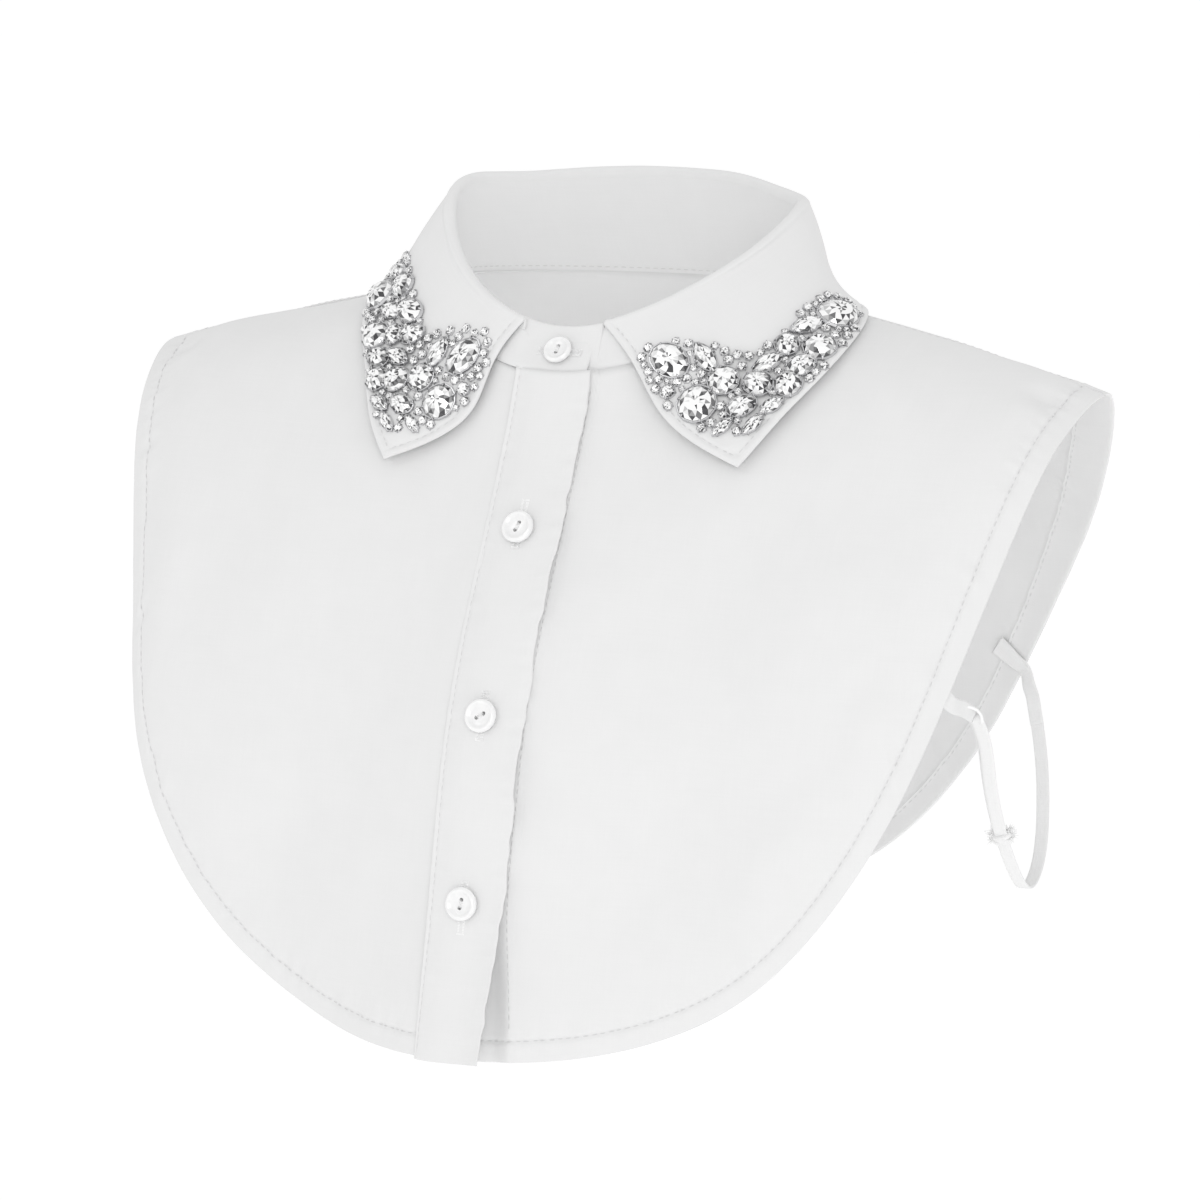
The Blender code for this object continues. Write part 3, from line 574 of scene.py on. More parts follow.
# Point on a neck oval, 0 at centre front and 90 at the wearer's left
def ovalPoint(deg, halfX, frontY, backY, frontZ, backZ, dipDeg, shiftX=0.0):
    deg = np.asarray(deg, float)
    turn = np.radians(deg)
    fromFront = np.abs((deg + 180) % 360 - 180)
    rise = (1 - np.cos(np.pi * np.minimum(fromFront / dipDeg, 1))) / 2
    x = halfX * np.sin(turn) + shiftX * (1 - np.cos(turn)) / 2
    y = (frontY + backY) / 2 - (backY - frontY) / 2 * np.cos(turn)
    return np.stack([x, y, frontZ + (backZ - frontZ) * rise], -1)


def ovalOutward(deg, halfX, frontY, backY, **_):
    turn = np.radians(np.asarray(deg, float))
    halfY = (backY - frontY) / 2
    return unitOf(np.stack([halfY * np.sin(turn), -halfX * np.cos(turn), 0 * turn], -1))


# The edge table for both sides as one run of stations, on past centre back
def bibStations():
    rows = [dict(zip(edgeColumns, row)) for row in edgeRows]
    last, spare = bib["centreBack"], bib["spareStations"]
    knots, values = [], []
    for station in range(-last - spare, last + bib["shoulder"] + spare + 1):
        wrapped = (station + last) % (2 * last) - last
        row = rows[abs(wrapped)]
        side = -1 if wrapped < 0 else 1
        neck = ovalPoint(row["neckDeg"], **neckSeam) * (side, 1, 1)
        strayX, strayZ = hemStray.get(wrapped, (0, 0))
        edge = (row["x"] * side + strayX, row["y"], row["z"] + strayZ)
        knots.append(station)
        values.append([*neck, *edge, row["bust"], row["curl"]])
    return smoothCurve(knots, values)


atStation = bibStations()


# Point on a straight line from neck to edge
def ruled(t, r):
    row = atStation(t)
    return row[..., 0:3] + (row[..., 3:6] - row[..., 0:3]) * np.asarray(r)[..., None]


# Outward direction of a surface
def outward(surface, t, r, step=0.004):
    along = surface(t + step, r) - surface(t - step, r)
    down = surface(t, r + step) - surface(t, r - step)
    return unitOf(np.cross(down, along))


def lineLength(t):
    row = atStation(t)
    return np.linalg.norm(row[..., 3:6] - row[..., 0:3], axis=-1)


# Middle of the bib's cloth at a station and a share of the way down
def bibPoint(t, r):
    t, r = np.broadcast_arrays(np.asarray(t, float), np.asarray(r, float))
    row = atStation(t)
    bust = row[..., 6] * np.sin(np.pi * np.clip(r, 0, 1))**2
    inset = np.clip((1 - r) * lineLength(t) / bib["curlReach"], -1, 1)
    curl = row[..., 7] * (1 - (1 - inset)**2) * np.clip(2 * r, 0, 1)
    return ruled(t, r) + outward(ruled, t, r) * (bust + curl)[..., None]


trialStations, trialShares = np.linspace(-2.6, 2.6, 209), np.linspace(0, 1.03, 260)
trialX = bibPoint(trialStations[None, :], trialShares[:, None])[..., 0]


# Station near centre front where the bib has this x, for each r
def stationsAtX(x, r):
    return np.interp(r, trialShares, [np.interp(x, row, trialStations) for row in trialX])


# Station and width: the turned hem is wider where the back meets the armhole
hemRows = ((0, 6.8), (5, 6.6), (7, 6.9), (8, 8.4), (8.6, 15.0), (10.2, 15.0), (12, 11.0),
           (14, 8.0), (16, 7.2))


def hemWidth(t):
    station, width = np.array(hemRows).T
    last = bib["centreBack"]
    return np.interp(np.abs((t + last) % (2 * last) - last), station, width)


# Soft creases in the worn cloth, in the front view and the back view, in mm:
# from x, z to x, z, then half width and height, where minus is a trough
frontCreases = (
    (116, -44, 64, -122, 15, -2.0), (132, -66, 96, -150, 15, 1.4), (24, -96, 66, -128, 9, -0.8),
    (82, -140, 52, -212, 17, -1.5), (30, -150, 24, -226, 13, 1.0), (110, -150, 92, -200, 10, 1.1),
    (52, -52, 40, -104, 13, 0.9), (140, -96, 118, -152, 9, -1.0),
    (-92, -52, -118, -150, 18, -1.6), (-46, -58, -40, -150, 19, 1.1),
    (-58, -150, -78, -222, 14, -1.5), (-124, -70, -140, -130, 12, 1.1),
    (-30, -128, -62, -142, 9, -0.7), (-26, -170, -30, -232, 11, -1.0),
    (-84, -140, -106, -196, 12, 1.3),
)
backCreases = (
    (20, -30, 30, -150, 17, -1.7), (-34, -24, -26, -168, 20, -1.4), (70, -50, 92, -150, 16, 1.5),
    (-80, -44, -104, -140, 16, 1.3), (0, -90, 6, -205, 15, 1.2), (118, -70, 112, -130, 12, -1.4),
    (-122, -66, -108, -132, 12, -1.2), (54, -110, 50, -190, 12, -1.0),
    (-58, -120, -62, -188, 13, -1.1),
)
# Columns and lines count the mesh; flat and area are the cut cloth in metres
panels = {
    "front_left": dict(creases=frontCreases, seed=7, columns=230, lines=72, groove=0.60,
                       flat=(0.20, 0.262), area=0.0385),
    "front_right": dict(creases=frontCreases, seed=17, columns=220, lines=72, groove=0.60,
                        flat=(0.18, 0.262), area=0.0340),
    "back": dict(creases=backCreases, seed=27, columns=330, lines=64, groove=0.30,
                 flat=(0.36, 0.236), area=0.0600),
}
# Heights and reaches in mm; waves are the longest, the shortest and how many
wear = dict(broad=0.6, broadWaves=(120, 46, 5), fine=0.12, fineWaves=(26, 11, 6), fineFrom=0.1,
            flatHem=4, flatHemOver=26, flatTop=0.18, hemRaise=0.25, hemPast=0.25, hemOver=0.5,
            grooveWidth=0.75, hemPucker=0.20, puckerPast=0.6, puckerReach=4.2, longPucker=1.3,
            longWaves=(23, 10, 4), shortWaves=(7.5, 4.2, 5), mmPerStation=32.0)
felled = dict(width=7.0, lift=0.3, liftOver=0.6, stitchIn=1.5, mmPerStation=22)
frontBand = dict(edge=15.4, lean=4.6, leanFrom=0.76, leanOver=0.24, rise=0.6, riseOver=0.4,
                 stitchIn=1.3, valley=3.4, valleyOver=0.2, valleyReach=7, valleySide=5)


# How far the left front's band has slanted away, as a share
def bandLean(r):
    return ease((r - frontBand["leanFrom"]) / frontBand["leanOver"])


# How far the cloth stands off its worn surface, outward in mm
def bibRelief(name, t, r, point):
    panel = panels[name]
    seed = panel["seed"]
    width = hemWidth(t)
    toEdge = (1 - r) * lineLength(t)
    inHem = ease((width + wear["hemPast"] - toEdge) / wear["hemOver"])
    away = ease((toEdge - wear["flatHem"]) / wear["flatHemOver"]) * ease(r / wear["flatTop"])
    fromNeck = ease(r / wear["fineFrom"])
    relief = wear["broad"] * ripple(point, *wear["broadWaves"], seed) * away
    relief = relief + wear["fine"] * ripple(point, *wear["fineWaves"], seed + 1) * fromNeck
    for crease in panel["creases"]:
        relief = relief + ridge(point[..., 0], point[..., 2], crease) * away
    run = t * wear["mmPerStation"]
    pucker = wear["longPucker"] * rippleAlong(run, *wear["longWaves"], seed + 2) \
        + rippleAlong(run, *wear["shortWaves"], seed + 3)
    nearStitch = bell(toEdge - width - wear["puckerPast"], wear["puckerReach"])
    relief = relief + wear["hemPucker"] * pucker * nearStitch
    relief = relief + wear["hemRaise"] * inHem
    relief = relief - panel["groove"] * bell(toEdge - width, wear["grooveWidth"])
    if name == "back":
        fromSeam = np.minimum(np.abs(t - bib["shoulder"]), np.abs(t - bib["farShoulder"]))
        toSeam = fromSeam * felled["mmPerStation"]
        relief = relief + felled["lift"] * ease((felled["width"] - toSeam) / felled["liftOver"])
    if name == "front_left":
        band = frontBand
        under = band["edge"] + band["lean"] * bandLean(r) - point[..., 0]
        lower = ease((r - band["leanFrom"]) / band["valleyOver"])
        relief = relief + band["rise"] * ease(under / band["riseOver"])
        relief = relief - band["valley"] * lower * ease(under / band["valleyReach"]) \
            * ease(point[..., 0] / band["valleySide"])
    return relief + shoulderPucker(t, r, 1) + shoulderPucker(t, r, -1)


# Share of the hem's second layer behind the cloth
def turnedUnder(t, toEdge):
    return ease((hemWidth(t) - toEdge + bib["turnedPast"]) / bib["turnedOver"])


# Point on the cloth's outer or inner face and its outward direction
def bibSurface(name, t, r, face=1):
    t, r = np.broadcast_arrays(np.asarray(t, float), np.asarray(r, float))
    point = bibPoint(t, r)
    out = outward(bibPoint, t, r)
    height = bibRelief(name, t, r, point)
    inHem = turnedUnder(t, (1 - r) * lineLength(t))
    half = bib["cloth"] / 2
    height = height + (half if face > 0 else -half - bib["turned"] * inHem)
    return point + out * height[..., None], out * face


shoulderDrag = dict(beforeSeam=0.62, mmPerStation=24, dip=2.2, dipAt=13, dipDown=5.5, dipAcross=4.0,
                    rise=0.9, riseAt=15, riseDown=8, riseAside=8, riseAcross=5)


# The seam allowance drags the cloth in where the shoulder meets the hem
def shoulderPucker(t, r, side):
    drag = shoulderDrag
    toEdge = (1 - r) * lineLength(t)
    across = (t - side * (bib["shoulder"] - drag["beforeSeam"])) * drag["mmPerStation"] * side
    dip = bell(toEdge - drag["dipAt"], drag["dipDown"]) * bell(across, drag["dipAcross"])
    rise = bell(toEdge - drag["riseAt"], drag["riseDown"]) \
        * bell(across + drag["riseAside"], drag["riseAcross"])
    return drag["rise"] * rise - drag["dip"] * dip


# mm either side of the stitch line, shares of the hem below it, mm from the edge; then
# the first shares of a column at a panel's sides
hemSteps = dict(above=1.7, stitch=(1.2, 0.8, 0.5, 0.3, 0.15, 0.0, -0.15, -0.3, -0.5, -0.8, -1.2),
                below=1.8, hem=(0.85, 0.68, 0.5, 0.34, 0.2, 0.11), edge=(0.4, 0.15, 0.0),
                sideStep=0.75, sides=(0, 0.2, 0.6))


# Shares of the way down, close together at the hem's fold and edge
def hemLevels(length, width, lines):
    inner = 1 - (width + hemSteps["above"]) / length
    levels = [inner * k / lines for k in range(lines + 1)]
    levels += [1 - (width + past) / length for past in hemSteps["stitch"]]
    levels += [1 - (width - hemSteps["below"]) * share / length for share in hemSteps["hem"]]
    levels += [1 - toEdge / length for toEdge in hemSteps["edge"]]
    return np.stack(levels, -1)


# 1 inside, falling to 0 like a quarter circle at an edge
def roundedEdge(distance, reach):
    k = np.clip(distance / reach, 0, 1)
    return np.sqrt(np.maximum(1 - (1 - k)**2, 0.0004))


# start and end give the panel's limiting stations for each r
def bibPanel(name, start, end, mat):
    columns = panels[name]["columns"]
    close = np.array(hemSteps["sides"]) * (hemSteps["sideStep"] / columns)
    share = np.concatenate([close, np.linspace(0, 1, columns + 1)[1:-1], 1 - close[::-1]])
    low = np.array([0.9])  # near the hem
    nearEdge = start(low)[0] + (end(low)[0] - start(low)[0]) * share
    r = hemLevels(lineLength(nearEdge), hemWidth(nearEdge), panels[name]["lines"])
    first, last = start(r.ravel()).reshape(r.shape), end(r.ravel()).reshape(r.shape)
    t = first + (last - first) * share[:, None]
    point = bibPoint(t, r)
    out = outward(bibPoint, t, r)
    toEdge = (1 - r) * lineLength(t)
    middle = point + out * bibRelief(name, t, r, point)[..., None]
    rim = roundedEdge(toEdge, bib["rim"])
    half = bib["cloth"] / 2
    inner = half + bib["turned"] * turnedUnder(t, toEdge)
    uv = np.stack([point[..., 0] * 1.06, point[..., 2]], -1)  # 1.06: cloth curving away
    return clothShell(f"{name}_cloth", middle, out, half * rim, inner * rim, uv, mat)


# Millimetres of bib in one station, beside a seam
def stationPace(seam, r, near=0.01):
    return np.linalg.norm(bibPoint(seam + near, r) - bibPoint(seam - near, r), axis=-1) / (2 * near)


# Station of a panel's edge at the shoulder seam, half the slit away from it
def shoulderLimit(side, behind):
    seam = float(side * bib["shoulder"])

    def at(r):
        return seam + side * (bib["slit"] if behind else -bib["slit"]) / stationPace(seam, r)
    return at


def addBib(cotton):
    behindRight = shoulderLimit(-1, True)
    limits = {
        "front_left": (lambda r: stationsAtX(bib["underlapEdge"], r), shoulderLimit(1, False)),
        "front_right": (lambda r: stationsAtX(bib["rightFrontEdge"], r), shoulderLimit(-1, False)),
        "back": (shoulderLimit(1, True), lambda r: behindRight(r) + 2 * bib["centreBack"]),
    }
    for node, (start, end) in limits.items():
        piece = bibPanel(node, start, end, cotton)
        dress(piece, [node])
    print("bib panels made")


hemRuns = (("front_left", -0.35, 7.9), ("front_right", -0.4, -7.9), ("back", 8.1, 23.9))
hemFaces = ((1, 0.0), (-1, -1.3))  # outer and inner face, mm from the hem line
seamRun, bandRun = np.linspace(0.06, 0.9, 160), np.linspace(0.03, 0.955, 260)


# Stitch lines along the hems, the shoulder seams and the left front's band
def hemStitches(sewing):
    for name, first, last in hemRuns:
        for face, offset in hemFaces:
            t = np.linspace(first, last, 900)  # close enough for the hem's curves
            r = 1 - (hemWidth(t) + offset) / lineLength(t)
            sewing.line(*bibSurface(name, t, r, face))
    for seam, side in ((float(bib["shoulder"]), 1), (float(bib["farShoulder"]), -1)):
        for inset in (felled["stitchIn"], felled["width"] - felled["stitchIn"]):
            t = seam + side * inset / stationPace(seam, seamRun)
            sewing.line(*bibSurface("back", t, seamRun))
    line = frontBand["edge"] - frontBand["stitchIn"]
    t = stationsAtX(line, bandRun)
    t = t + (stationsAtX(line + frontBand["lean"], bandRun) - t) * bandLean(bandRun)
    sewing.line(*bibSurface("front_left", t, bandRun))


# Collar stand and fall

collar = dict(standWall=1.2, lapDeg=10.8, lapDrop=2.7, underDeg=15.5, lapStep=1.05, lapFrom=30,
              lapOver=22, fallWall=1.5, startDeg=13.5, roll=1.5, flatRoll=0.5, rollOver=22,
              belowFold=0.9, overPanel=1.4, bowLeft=9.5, bowRight=14.0, bowFade=34.0,
              bowDown=1.9, stitchIn=3.0)
# The edge of the fall by fold angle: station and mm down the bib on each side, mm off
# the bib, and how far the leaf sags inward
fallColumns = ("place", "foldDeg", "leftStation", "leftReach", "rightStation", "rightReach",
               "lift", "leftSag", "rightSag")
fallRows = (
    ("tip", 13.5, 4.2, 52.4, 3.5, 49, 2.7, -2.6, 0),
    ("front", 34, 5.1, 44.8, 4.3, 41.5, 2.0, -0.6, 0.5),
    ("side", 56, 6.0, 41.5, 5.3, 33, 1.6, 2.5, 1.6),
    ("shoulder", 80, 7.4, 33.5, 6.9, 30, 0.2, 3.6, 1.8),
    ("behind", 112, 9.6, 20.5, 9.6, 27, 0.0, 4.4, 2.0),
    ("back_side", 146, 12.6, 19, 12.6, 19, 1.2, 1.6, 1.4),
    ("back", 180, 16, 15, 16, 15, 1.4, 0, 0),
)
# How the worn fold strays along its way round: angle, then upward and outward in mm
foldStray = (
    (0, 0, 0), (28, 0, 0), (43, -1.0, 0), (58, -3.2, 0), (73, -4.8, 0), (90, -5.2, 0),
    (108, -5.0, 0), (125, -4.4, 0), (138, -2.8, 0), (150, -0.6, 0), (162, 1.2, 0), (180, 1.9, 0),
    (200, 1.6, 0), (220, 0.6, 0), (240, -0.5, 0.8), (256, -0.4, 2.4), (275, 0.1, 1.9),
    (295, -0.2, 0.4), (325, 0, 0), (360, 0, 0),
)
strayDegs, *strayWays = np.array(foldStray).T
strayAt = smoothCurve(strayDegs, np.stack(strayWays, -1))


# The fold's line with its stray, for any angle
def foldTop(deg):
    stray = strayAt(np.asarray(deg, float) % 360)
    return ovalPoint(deg, **foldLine) + stray[..., :1] * upward \
        + ovalOutward(deg, **foldLine) * stray[..., 1:]


# Outward step that lets the over end of the collar lap the under end
def lapStep(deg):
    deg = np.asarray(deg, float)
    over = ease((deg - (360 - collar["lapFrom"])) / collar["lapOver"])
    return collar["lapStep"] * (over - ease((collar["lapFrom"] - deg) / collar["lapOver"]))


# Where the fall's edge comes, as station and reach down the bib, from one tip to the other
def fallEdgeTable():
    rows = [dict(zip(fallColumns, row)) for row in fallRows]
    knots, values = [], []
    for row in rows:
        knots.append(row["foldDeg"])
        values.append((row["leftStation"], row["leftReach"], row["lift"], row["leftSag"]))
    for row in rows[-2::-1]:
        knots.append(360 - row["foldDeg"])
        station = 2 * bib["centreBack"] - row["rightStation"]
        values.append((station, row["rightReach"], row["lift"], row["rightSag"]))
    return smoothCurve(knots, values)


fallEdge = fallEdgeTable()


# The fold flattens towards the front ends of the fall
def rollAt(deg):
    fromFront = np.minimum(deg, 360 - np.asarray(deg)) - collar["startDeg"]
    flat = collar["flatRoll"]
    return collar["roll"] * (flat + (1 - flat) * ease(fromFront / collar["rollOver"]))


def foldPoint(deg):
    return foldTop(deg) + ovalOutward(deg, **foldLine) * lapStep(deg)[..., None]


# Middle of the fall's cloth; share runs from below the fold to the edge
def fallPoint(deg, share):
    deg, share = np.broadcast_arrays(np.asarray(deg, float), np.asarray(share, float))
    edge = fallEdge(deg)
    last = bib["centreBack"]
    station = np.where(edge[..., 0] > last, edge[..., 0] - 2 * last, edge[..., 0])
    r = edge[..., 1] / lineLength(station)
    lift = (collar["overPanel"] + edge[..., 2])[..., None]
    hem = bibPoint(station, r) + outward(bibPoint, station, r) * lift
    side = ovalOutward(deg, **foldLine)
    roll = rollAt(deg)[..., None]
    start = foldPoint(deg) + side * 2 * roll - upward * roll
    sag = edge[..., 3] * np.sin(np.pi * share**2)
    middle = start + (hem - start) * share[..., None] - side * sag[..., None]
    onLeft = deg < 180
    fromFront = np.where(onLeft, deg, 360 - deg) - collar["startDeg"]
    fade = np.clip(1 - fromFront / collar["bowFade"], 0, 1)**2
    reach = np.where(onLeft, -collar["bowLeft"], collar["bowRight"])
    middle[..., 0] += reach * fade * np.sin(np.pi * share**collar["bowDown"])
    return middle


fallWear = dict(broad=0.35, broadWaves=(70, 30, 4), broadIn=10, fine=0.08, fineWaves=(18, 8, 5),
                leafFrom=12, groove=0.34, grooveWidth=0.6, band=0.16, bandOver=0.8, pucker=0.16,
                puckerWaves=(9, 4, 4), puckerIn=3.4, puckerReach=2.2)
# mm below the seam, steps round the roll, degrees from the ends, shares down the leaf
fallGrid = dict(below=(2.4, 1.6, 0.8, 0.0), half=0.45, turns=11, count=300, inset=4.2,
                ends=(0, 0.1, 0.28, 0.55, 0.95, 1.5, 2.1, 2.6, 3.0, 3.5),
                leaf=(0.03, 0.88, 34), edge=(0.903, 0.92, 0.935, 0.948, 0.96, 0.97, 0.98, 0.988,
                                             0.994, 0.998, 1.0))
fallRim = dict(reach=0.8, thinTop=0.55, thinOver=3.2)


# Grid of the fall's middle points from inside the fold to the edge, its outward
# directions and how far each point is from the rim, in mm
def fallSheet(deg, shares):
    fold, side = foldPoint(deg), ovalOutward(deg, **foldLine)
    roll = rollAt(deg)[:, None]
    foot = ovalPoint(deg, **neckSeam) + side * lapStep(deg)[:, None]
    seam = fold - upward * (roll + collar["belowFold"])
    lines = [seam + unitOf(foot - seam) * below for below in fallGrid["below"]]
    lines.append(fold - upward * (roll + fallGrid["half"]))
    for turn in np.radians(np.linspace(0, 180, fallGrid["turns"])):
        rolled = side * roll * (1 - math.cos(turn)) + upward * roll * (math.sin(turn) - 1)
        lines.append(fold + rolled)
    lines += [fallPoint(deg, share) for share in shares]
    middle = np.stack(lines, 1)
    out = unitOf(np.cross(np.gradient(middle, axis=1), np.gradient(middle, axis=0)))
    around, down = runOf(middle), runOf(middle.swapaxes(0, 1)).T
    toEdge = down[:, -1:] - down
    toFront = np.minimum(around, around[-1:] - around)
    toRim = np.minimum(toEdge, toFront)
    alongRim = np.where(toEdge < toFront, around, down)
    worn = fallWear
    onLeaf = ease(down / worn["leafFrom"])
    inside = ease(toRim / worn["broadIn"])
    relief = worn["broad"] * ripple(middle, *worn["broadWaves"], 41) * inside * onLeaf
    relief += worn["fine"] * ripple(middle, *worn["fineWaves"], 42) * onLeaf
    relief -= worn["groove"] * bell(toRim - collar["stitchIn"], worn["grooveWidth"]) * onLeaf
    relief += worn["band"] * ease((collar["stitchIn"] - toRim) / worn["bandOver"]) * onLeaf
    relief += worn["pucker"] * rippleAlong(alongRim, *worn["puckerWaves"], 43) \
        * bell(toRim - worn["puckerIn"], worn["puckerReach"]) * onLeaf
    return middle + out * relief[..., None], out, toRim, around, down


# Angles round the neck, close together at both ends
def anglesBetween(first, last, grid):
    near, inset = np.array(grid["ends"]), grid["inset"]
    evenly = np.linspace(first + inset, last - inset, grid["count"])
    return np.concatenate([first + near, evenly, last - near[::-1]])


# The part of such a run where the angles are even
def evenPart(grid):
    return slice(len(grid["ends"]) - 1, 1 - len(grid["ends"]))


def addFall(cotton, sewing):
    deg = anglesBetween(collar["startDeg"], 360 - collar["startDeg"], fallGrid)
    shares = np.concatenate([np.linspace(*fallGrid["leaf"]), fallGrid["edge"]])
    middle, out, toRim, around, down = fallSheet(deg, shares)
    thinTop = fallRim["thinTop"] + (1 - fallRim["thinTop"]) * ease(down / fallRim["thinOver"])
    half = collar["fallWall"] / 2 * roundedEdge(toRim, fallRim["reach"]) * thinTop
    leafTop = len(middle[0]) - len(shares)  # first line past the rolled fold
    aroundLeaf = around[:, [leafTop + 4]]  # the weave has its true pitch there
    uv = np.stack([aroundLeaf + 0 * down, down], -1)
    piece = clothShell("collar_fall_cloth", middle, out, half, half, uv, cotton)
    dress(piece, ["collar_fall"])
    outer = middle + out * half[..., None]
    inside = down[:, -1] - collar["stitchIn"]
    row = np.array([pointAt(at, run, points) for at, run, points in zip(inside, down, outer)])
    outs = np.array([pointAt(at, run, ways) for at, run, ways in zip(inside, down, out)])
    sewing.line(row[evenPart(fallGrid)], outs[evenPart(fallGrid)])
    for end, order in ((0, slice(None)), (-1, slice(None, None, -1))):
        fromEnd = np.abs(around - around[end])
        points, outs = [], []
        for j in range(leafTop, len(middle[0])):
            if down[end, -1] - down[end, j] < collar["stitchIn"]:
                break
            run = fromEnd[order, j]
            points.append(pointAt(collar["stitchIn"], run, outer[order, j]))
            outs.append(pointAt(collar["stitchIn"], run, out[order, j]))
        sewing.line(np.array(points), np.array(outs))
    print("collar fall made")


stationNumbers = np.arange(0, 2 * bib["centreBack"] + 1)
neckDegs = np.array([row[1] for row in edgeRows] + [360 - row[1] for row in edgeRows[-2::-1]])


stand = dict(footOut=0.7, footLift=0.1, footSlope=0.2, underFold=0.35, corner=2.8, cornerDeg=2.9,
             lapDropFrom=345, lapDropOver=4, ripple=0.3, waves=(60, 24, 4), rippleIn=8, rim=0.7,
             thinFoot=0.2, thinOver=2.4, stitchUp=2.0, groove=0.16, grooveWidth=0.5)
standGrid = dict(count=260, inset=4.4, ends=(0, 0.08, 0.22, 0.45, 0.8, 1.3, 1.9, 2.6, 3.4),
                 step=(0, 0.25, 0.5, 0.75, 1),
                 shares=(0, 0.012, 0.035, 0.055, 0.075, 0.1, 0.13, 0.17, 0.22, 0.29, 0.37, 0.46,
                         0.54, 0.62, 0.7, 0.77, 0.82, 0.86, 0.9, 0.93, 0.96, 0.98, 0.992, 1.0))


# Middle of the stand's cloth, foot to top
def standPoint(deg, share):
    deg, share = np.broadcast_arrays(np.asarray(deg, float), np.asarray(share, float))
    start = collar["startDeg"]
    step = ovalOutward(deg, **neckSeam) * lapStep(deg)[..., None]
    seam = ovalPoint(deg, **neckSeam)
    flare = unitOf(atStation(np.interp(deg % 360, neckDegs, stationNumbers))[..., 3:6] - seam)
    flat = np.linalg.norm(flare[..., :2], axis=-1)[..., None]
    footLift = (stand["footLift"] + stand["footSlope"] * flat) * upward
    foot = seam + step + flare * stand["footOut"] + footLift
    onOverlap = deg > 180
    tuck = ease((deg - start + stand["underFold"]) / stand["underFold"])
    underFold = np.where(onOverlap, 1.0, tuck)
    toEnd = np.where(onOverlap, 360 + collar["lapDeg"] - deg, 90.0)
    cornered = np.clip(1 - toEnd / stand["cornerDeg"], 0, 1)
    corner = stand["corner"] * (1 - np.sqrt(np.clip(1 - cornered**2, 0, 1)))
    roll = np.where(onOverlap, collar["roll"], rollAt(np.clip(deg, start, 360 - start)))
    drop = corner + (roll + collar["belowFold"]) * underFold
    lapped = onOverlap * ease((deg - stand["lapDropFrom"]) / stand["lapDropOver"])
    drop = drop + collar["lapDrop"] * lapped
    top = foldTop(deg) + step - drop[..., None] * upward
    return foot + (top - foot) * share[..., None]


# Grid of the stand's middle points with what its thickness and stitches need
def standSheet(deg, share):
    middle = standPoint(deg[:, None], share[None, :])
    out = np.repeat(ovalOutward(deg, **neckSeam)[:, None], len(share), 1)
    around = runOf(middle)
    height = np.linalg.norm(middle[:, -1] - middle[:, 0], axis=-1)[:, None]
    toRim = np.minimum(np.minimum(around, around[-1:] - around),
                       np.minimum(share * height, (1 - share) * height))
    relief = stand["ripple"] * ripple(middle, *stand["waves"], 51) * ease(toRim / stand["rippleIn"])
    return middle + out * relief[..., None], out, toRim, around, height


def addStand(cotton, sewing):
    along = anglesBetween(-collar["underDeg"], 360 + collar["lapDeg"], standGrid)
    tucked = collar["startDeg"] - stand["underFold"] * np.array(standGrid["step"])
    deg, share = np.unique(np.concatenate([along, tucked])), np.array(standGrid["shares"])
    middle, out, toRim, around, height = standSheet(deg, share)
    groove = stand["groove"] * bell(share * height - stand["stitchUp"], stand["grooveWidth"])
    thick = ease(share * height / stand["thinOver"])
    thinFoot = stand["thinFoot"] + (1 - stand["thinFoot"]) * thick
    half = collar["standWall"] / 2 * np.minimum(roundedEdge(toRim, stand["rim"]), thinFoot)
    uv = np.stack([around, share * height], -1)
    piece = clothShell("collar_stand_cloth", middle, out, half, half - groove, uv, cotton)
    dress(piece, ["collar_stand"])
    inner = middle - out * (half - groove)[..., None]
    sewnAt, even = stand["stitchUp"] / height[:, 0], evenPart(standGrid)
    row = np.array([pointAt(at, share, points) for at, points in zip(sewnAt, inner)])
    sewing.line(row[even], -out[even, 0])
    print("collar stand made")


# Placket

placket = dict(half=14.0, wall=1.1, sewnLift=0.95, freeLift=1.9, liftFrom=13, liftOver=9, top=0.25,
               belowHem=1.0, stitchIn=1.8, rim=0.6, groove=0.34, grooveWidth=0.55, waveEdge=0.8,
               longWobble=0.55, longWaves=(62, 23, 4), shortWobble=0.22, shortWaves=(14, 7, 4),
               ripple=0.30, waves=(50, 22, 4), rippleIn=4, pucker=0.14, puckerWaves=(11, 5, 4),
               puckerIn=2.6, puckerReach=2.5)
# Share of the way down and how far the free edge stands off there
placketEdge = ((0.0, 0.0), (0.10, 0.6), (0.20, 1.3), (0.31, 2.6), (0.42, 0.9), (0.50, 0.7),
               (0.60, 1.9), (0.72, 1.0), (0.79, 1.9), (0.86, 3.5), (0.94, 4.7), (1.02, 5.4))
placketSwing = dict(start=0.70, far=1.8, whole=1.6, bend=1.3, sewnOver=4)
placketGrid = dict(across=(14, 13.95, 13.8, 13.5, 13.1, 12.8, 12.5, 12.2, 11.9, 11.5, 11.0, 10.2,
                           9.0, 7.5, 6.0, 4.5, 3.0, 1.5),
                   down=(0.008, 0.995, 260), hem=(0.1, 0.4, 0.65, 0.85, 1.0),
                   stitches=(0.012, 0.992, 300))


# Middle of the placket's cloth and its outward direction, for a run of r
def placketPoint(x, r):
    t = stationsAtX(x, r)
    out = outward(bibPoint, t, r)
    shareDown, edgeLift = np.array(placketEdge).T
    wave = np.maximum(smoothCurve(shareDown, edgeLift[:, None])(r)[..., 0], 0)
    free = np.clip((x - 1) / (placket["half"] - 1), 0, 1)**2
    raised = ease((x + placket["liftFrom"]) / placket["liftOver"])
    lift = placket["sewnLift"] + (placket["freeLift"] - placket["sewnLift"]) * raised
    return bibPoint(t, r) + out * (lift + wave * free)[..., None], out


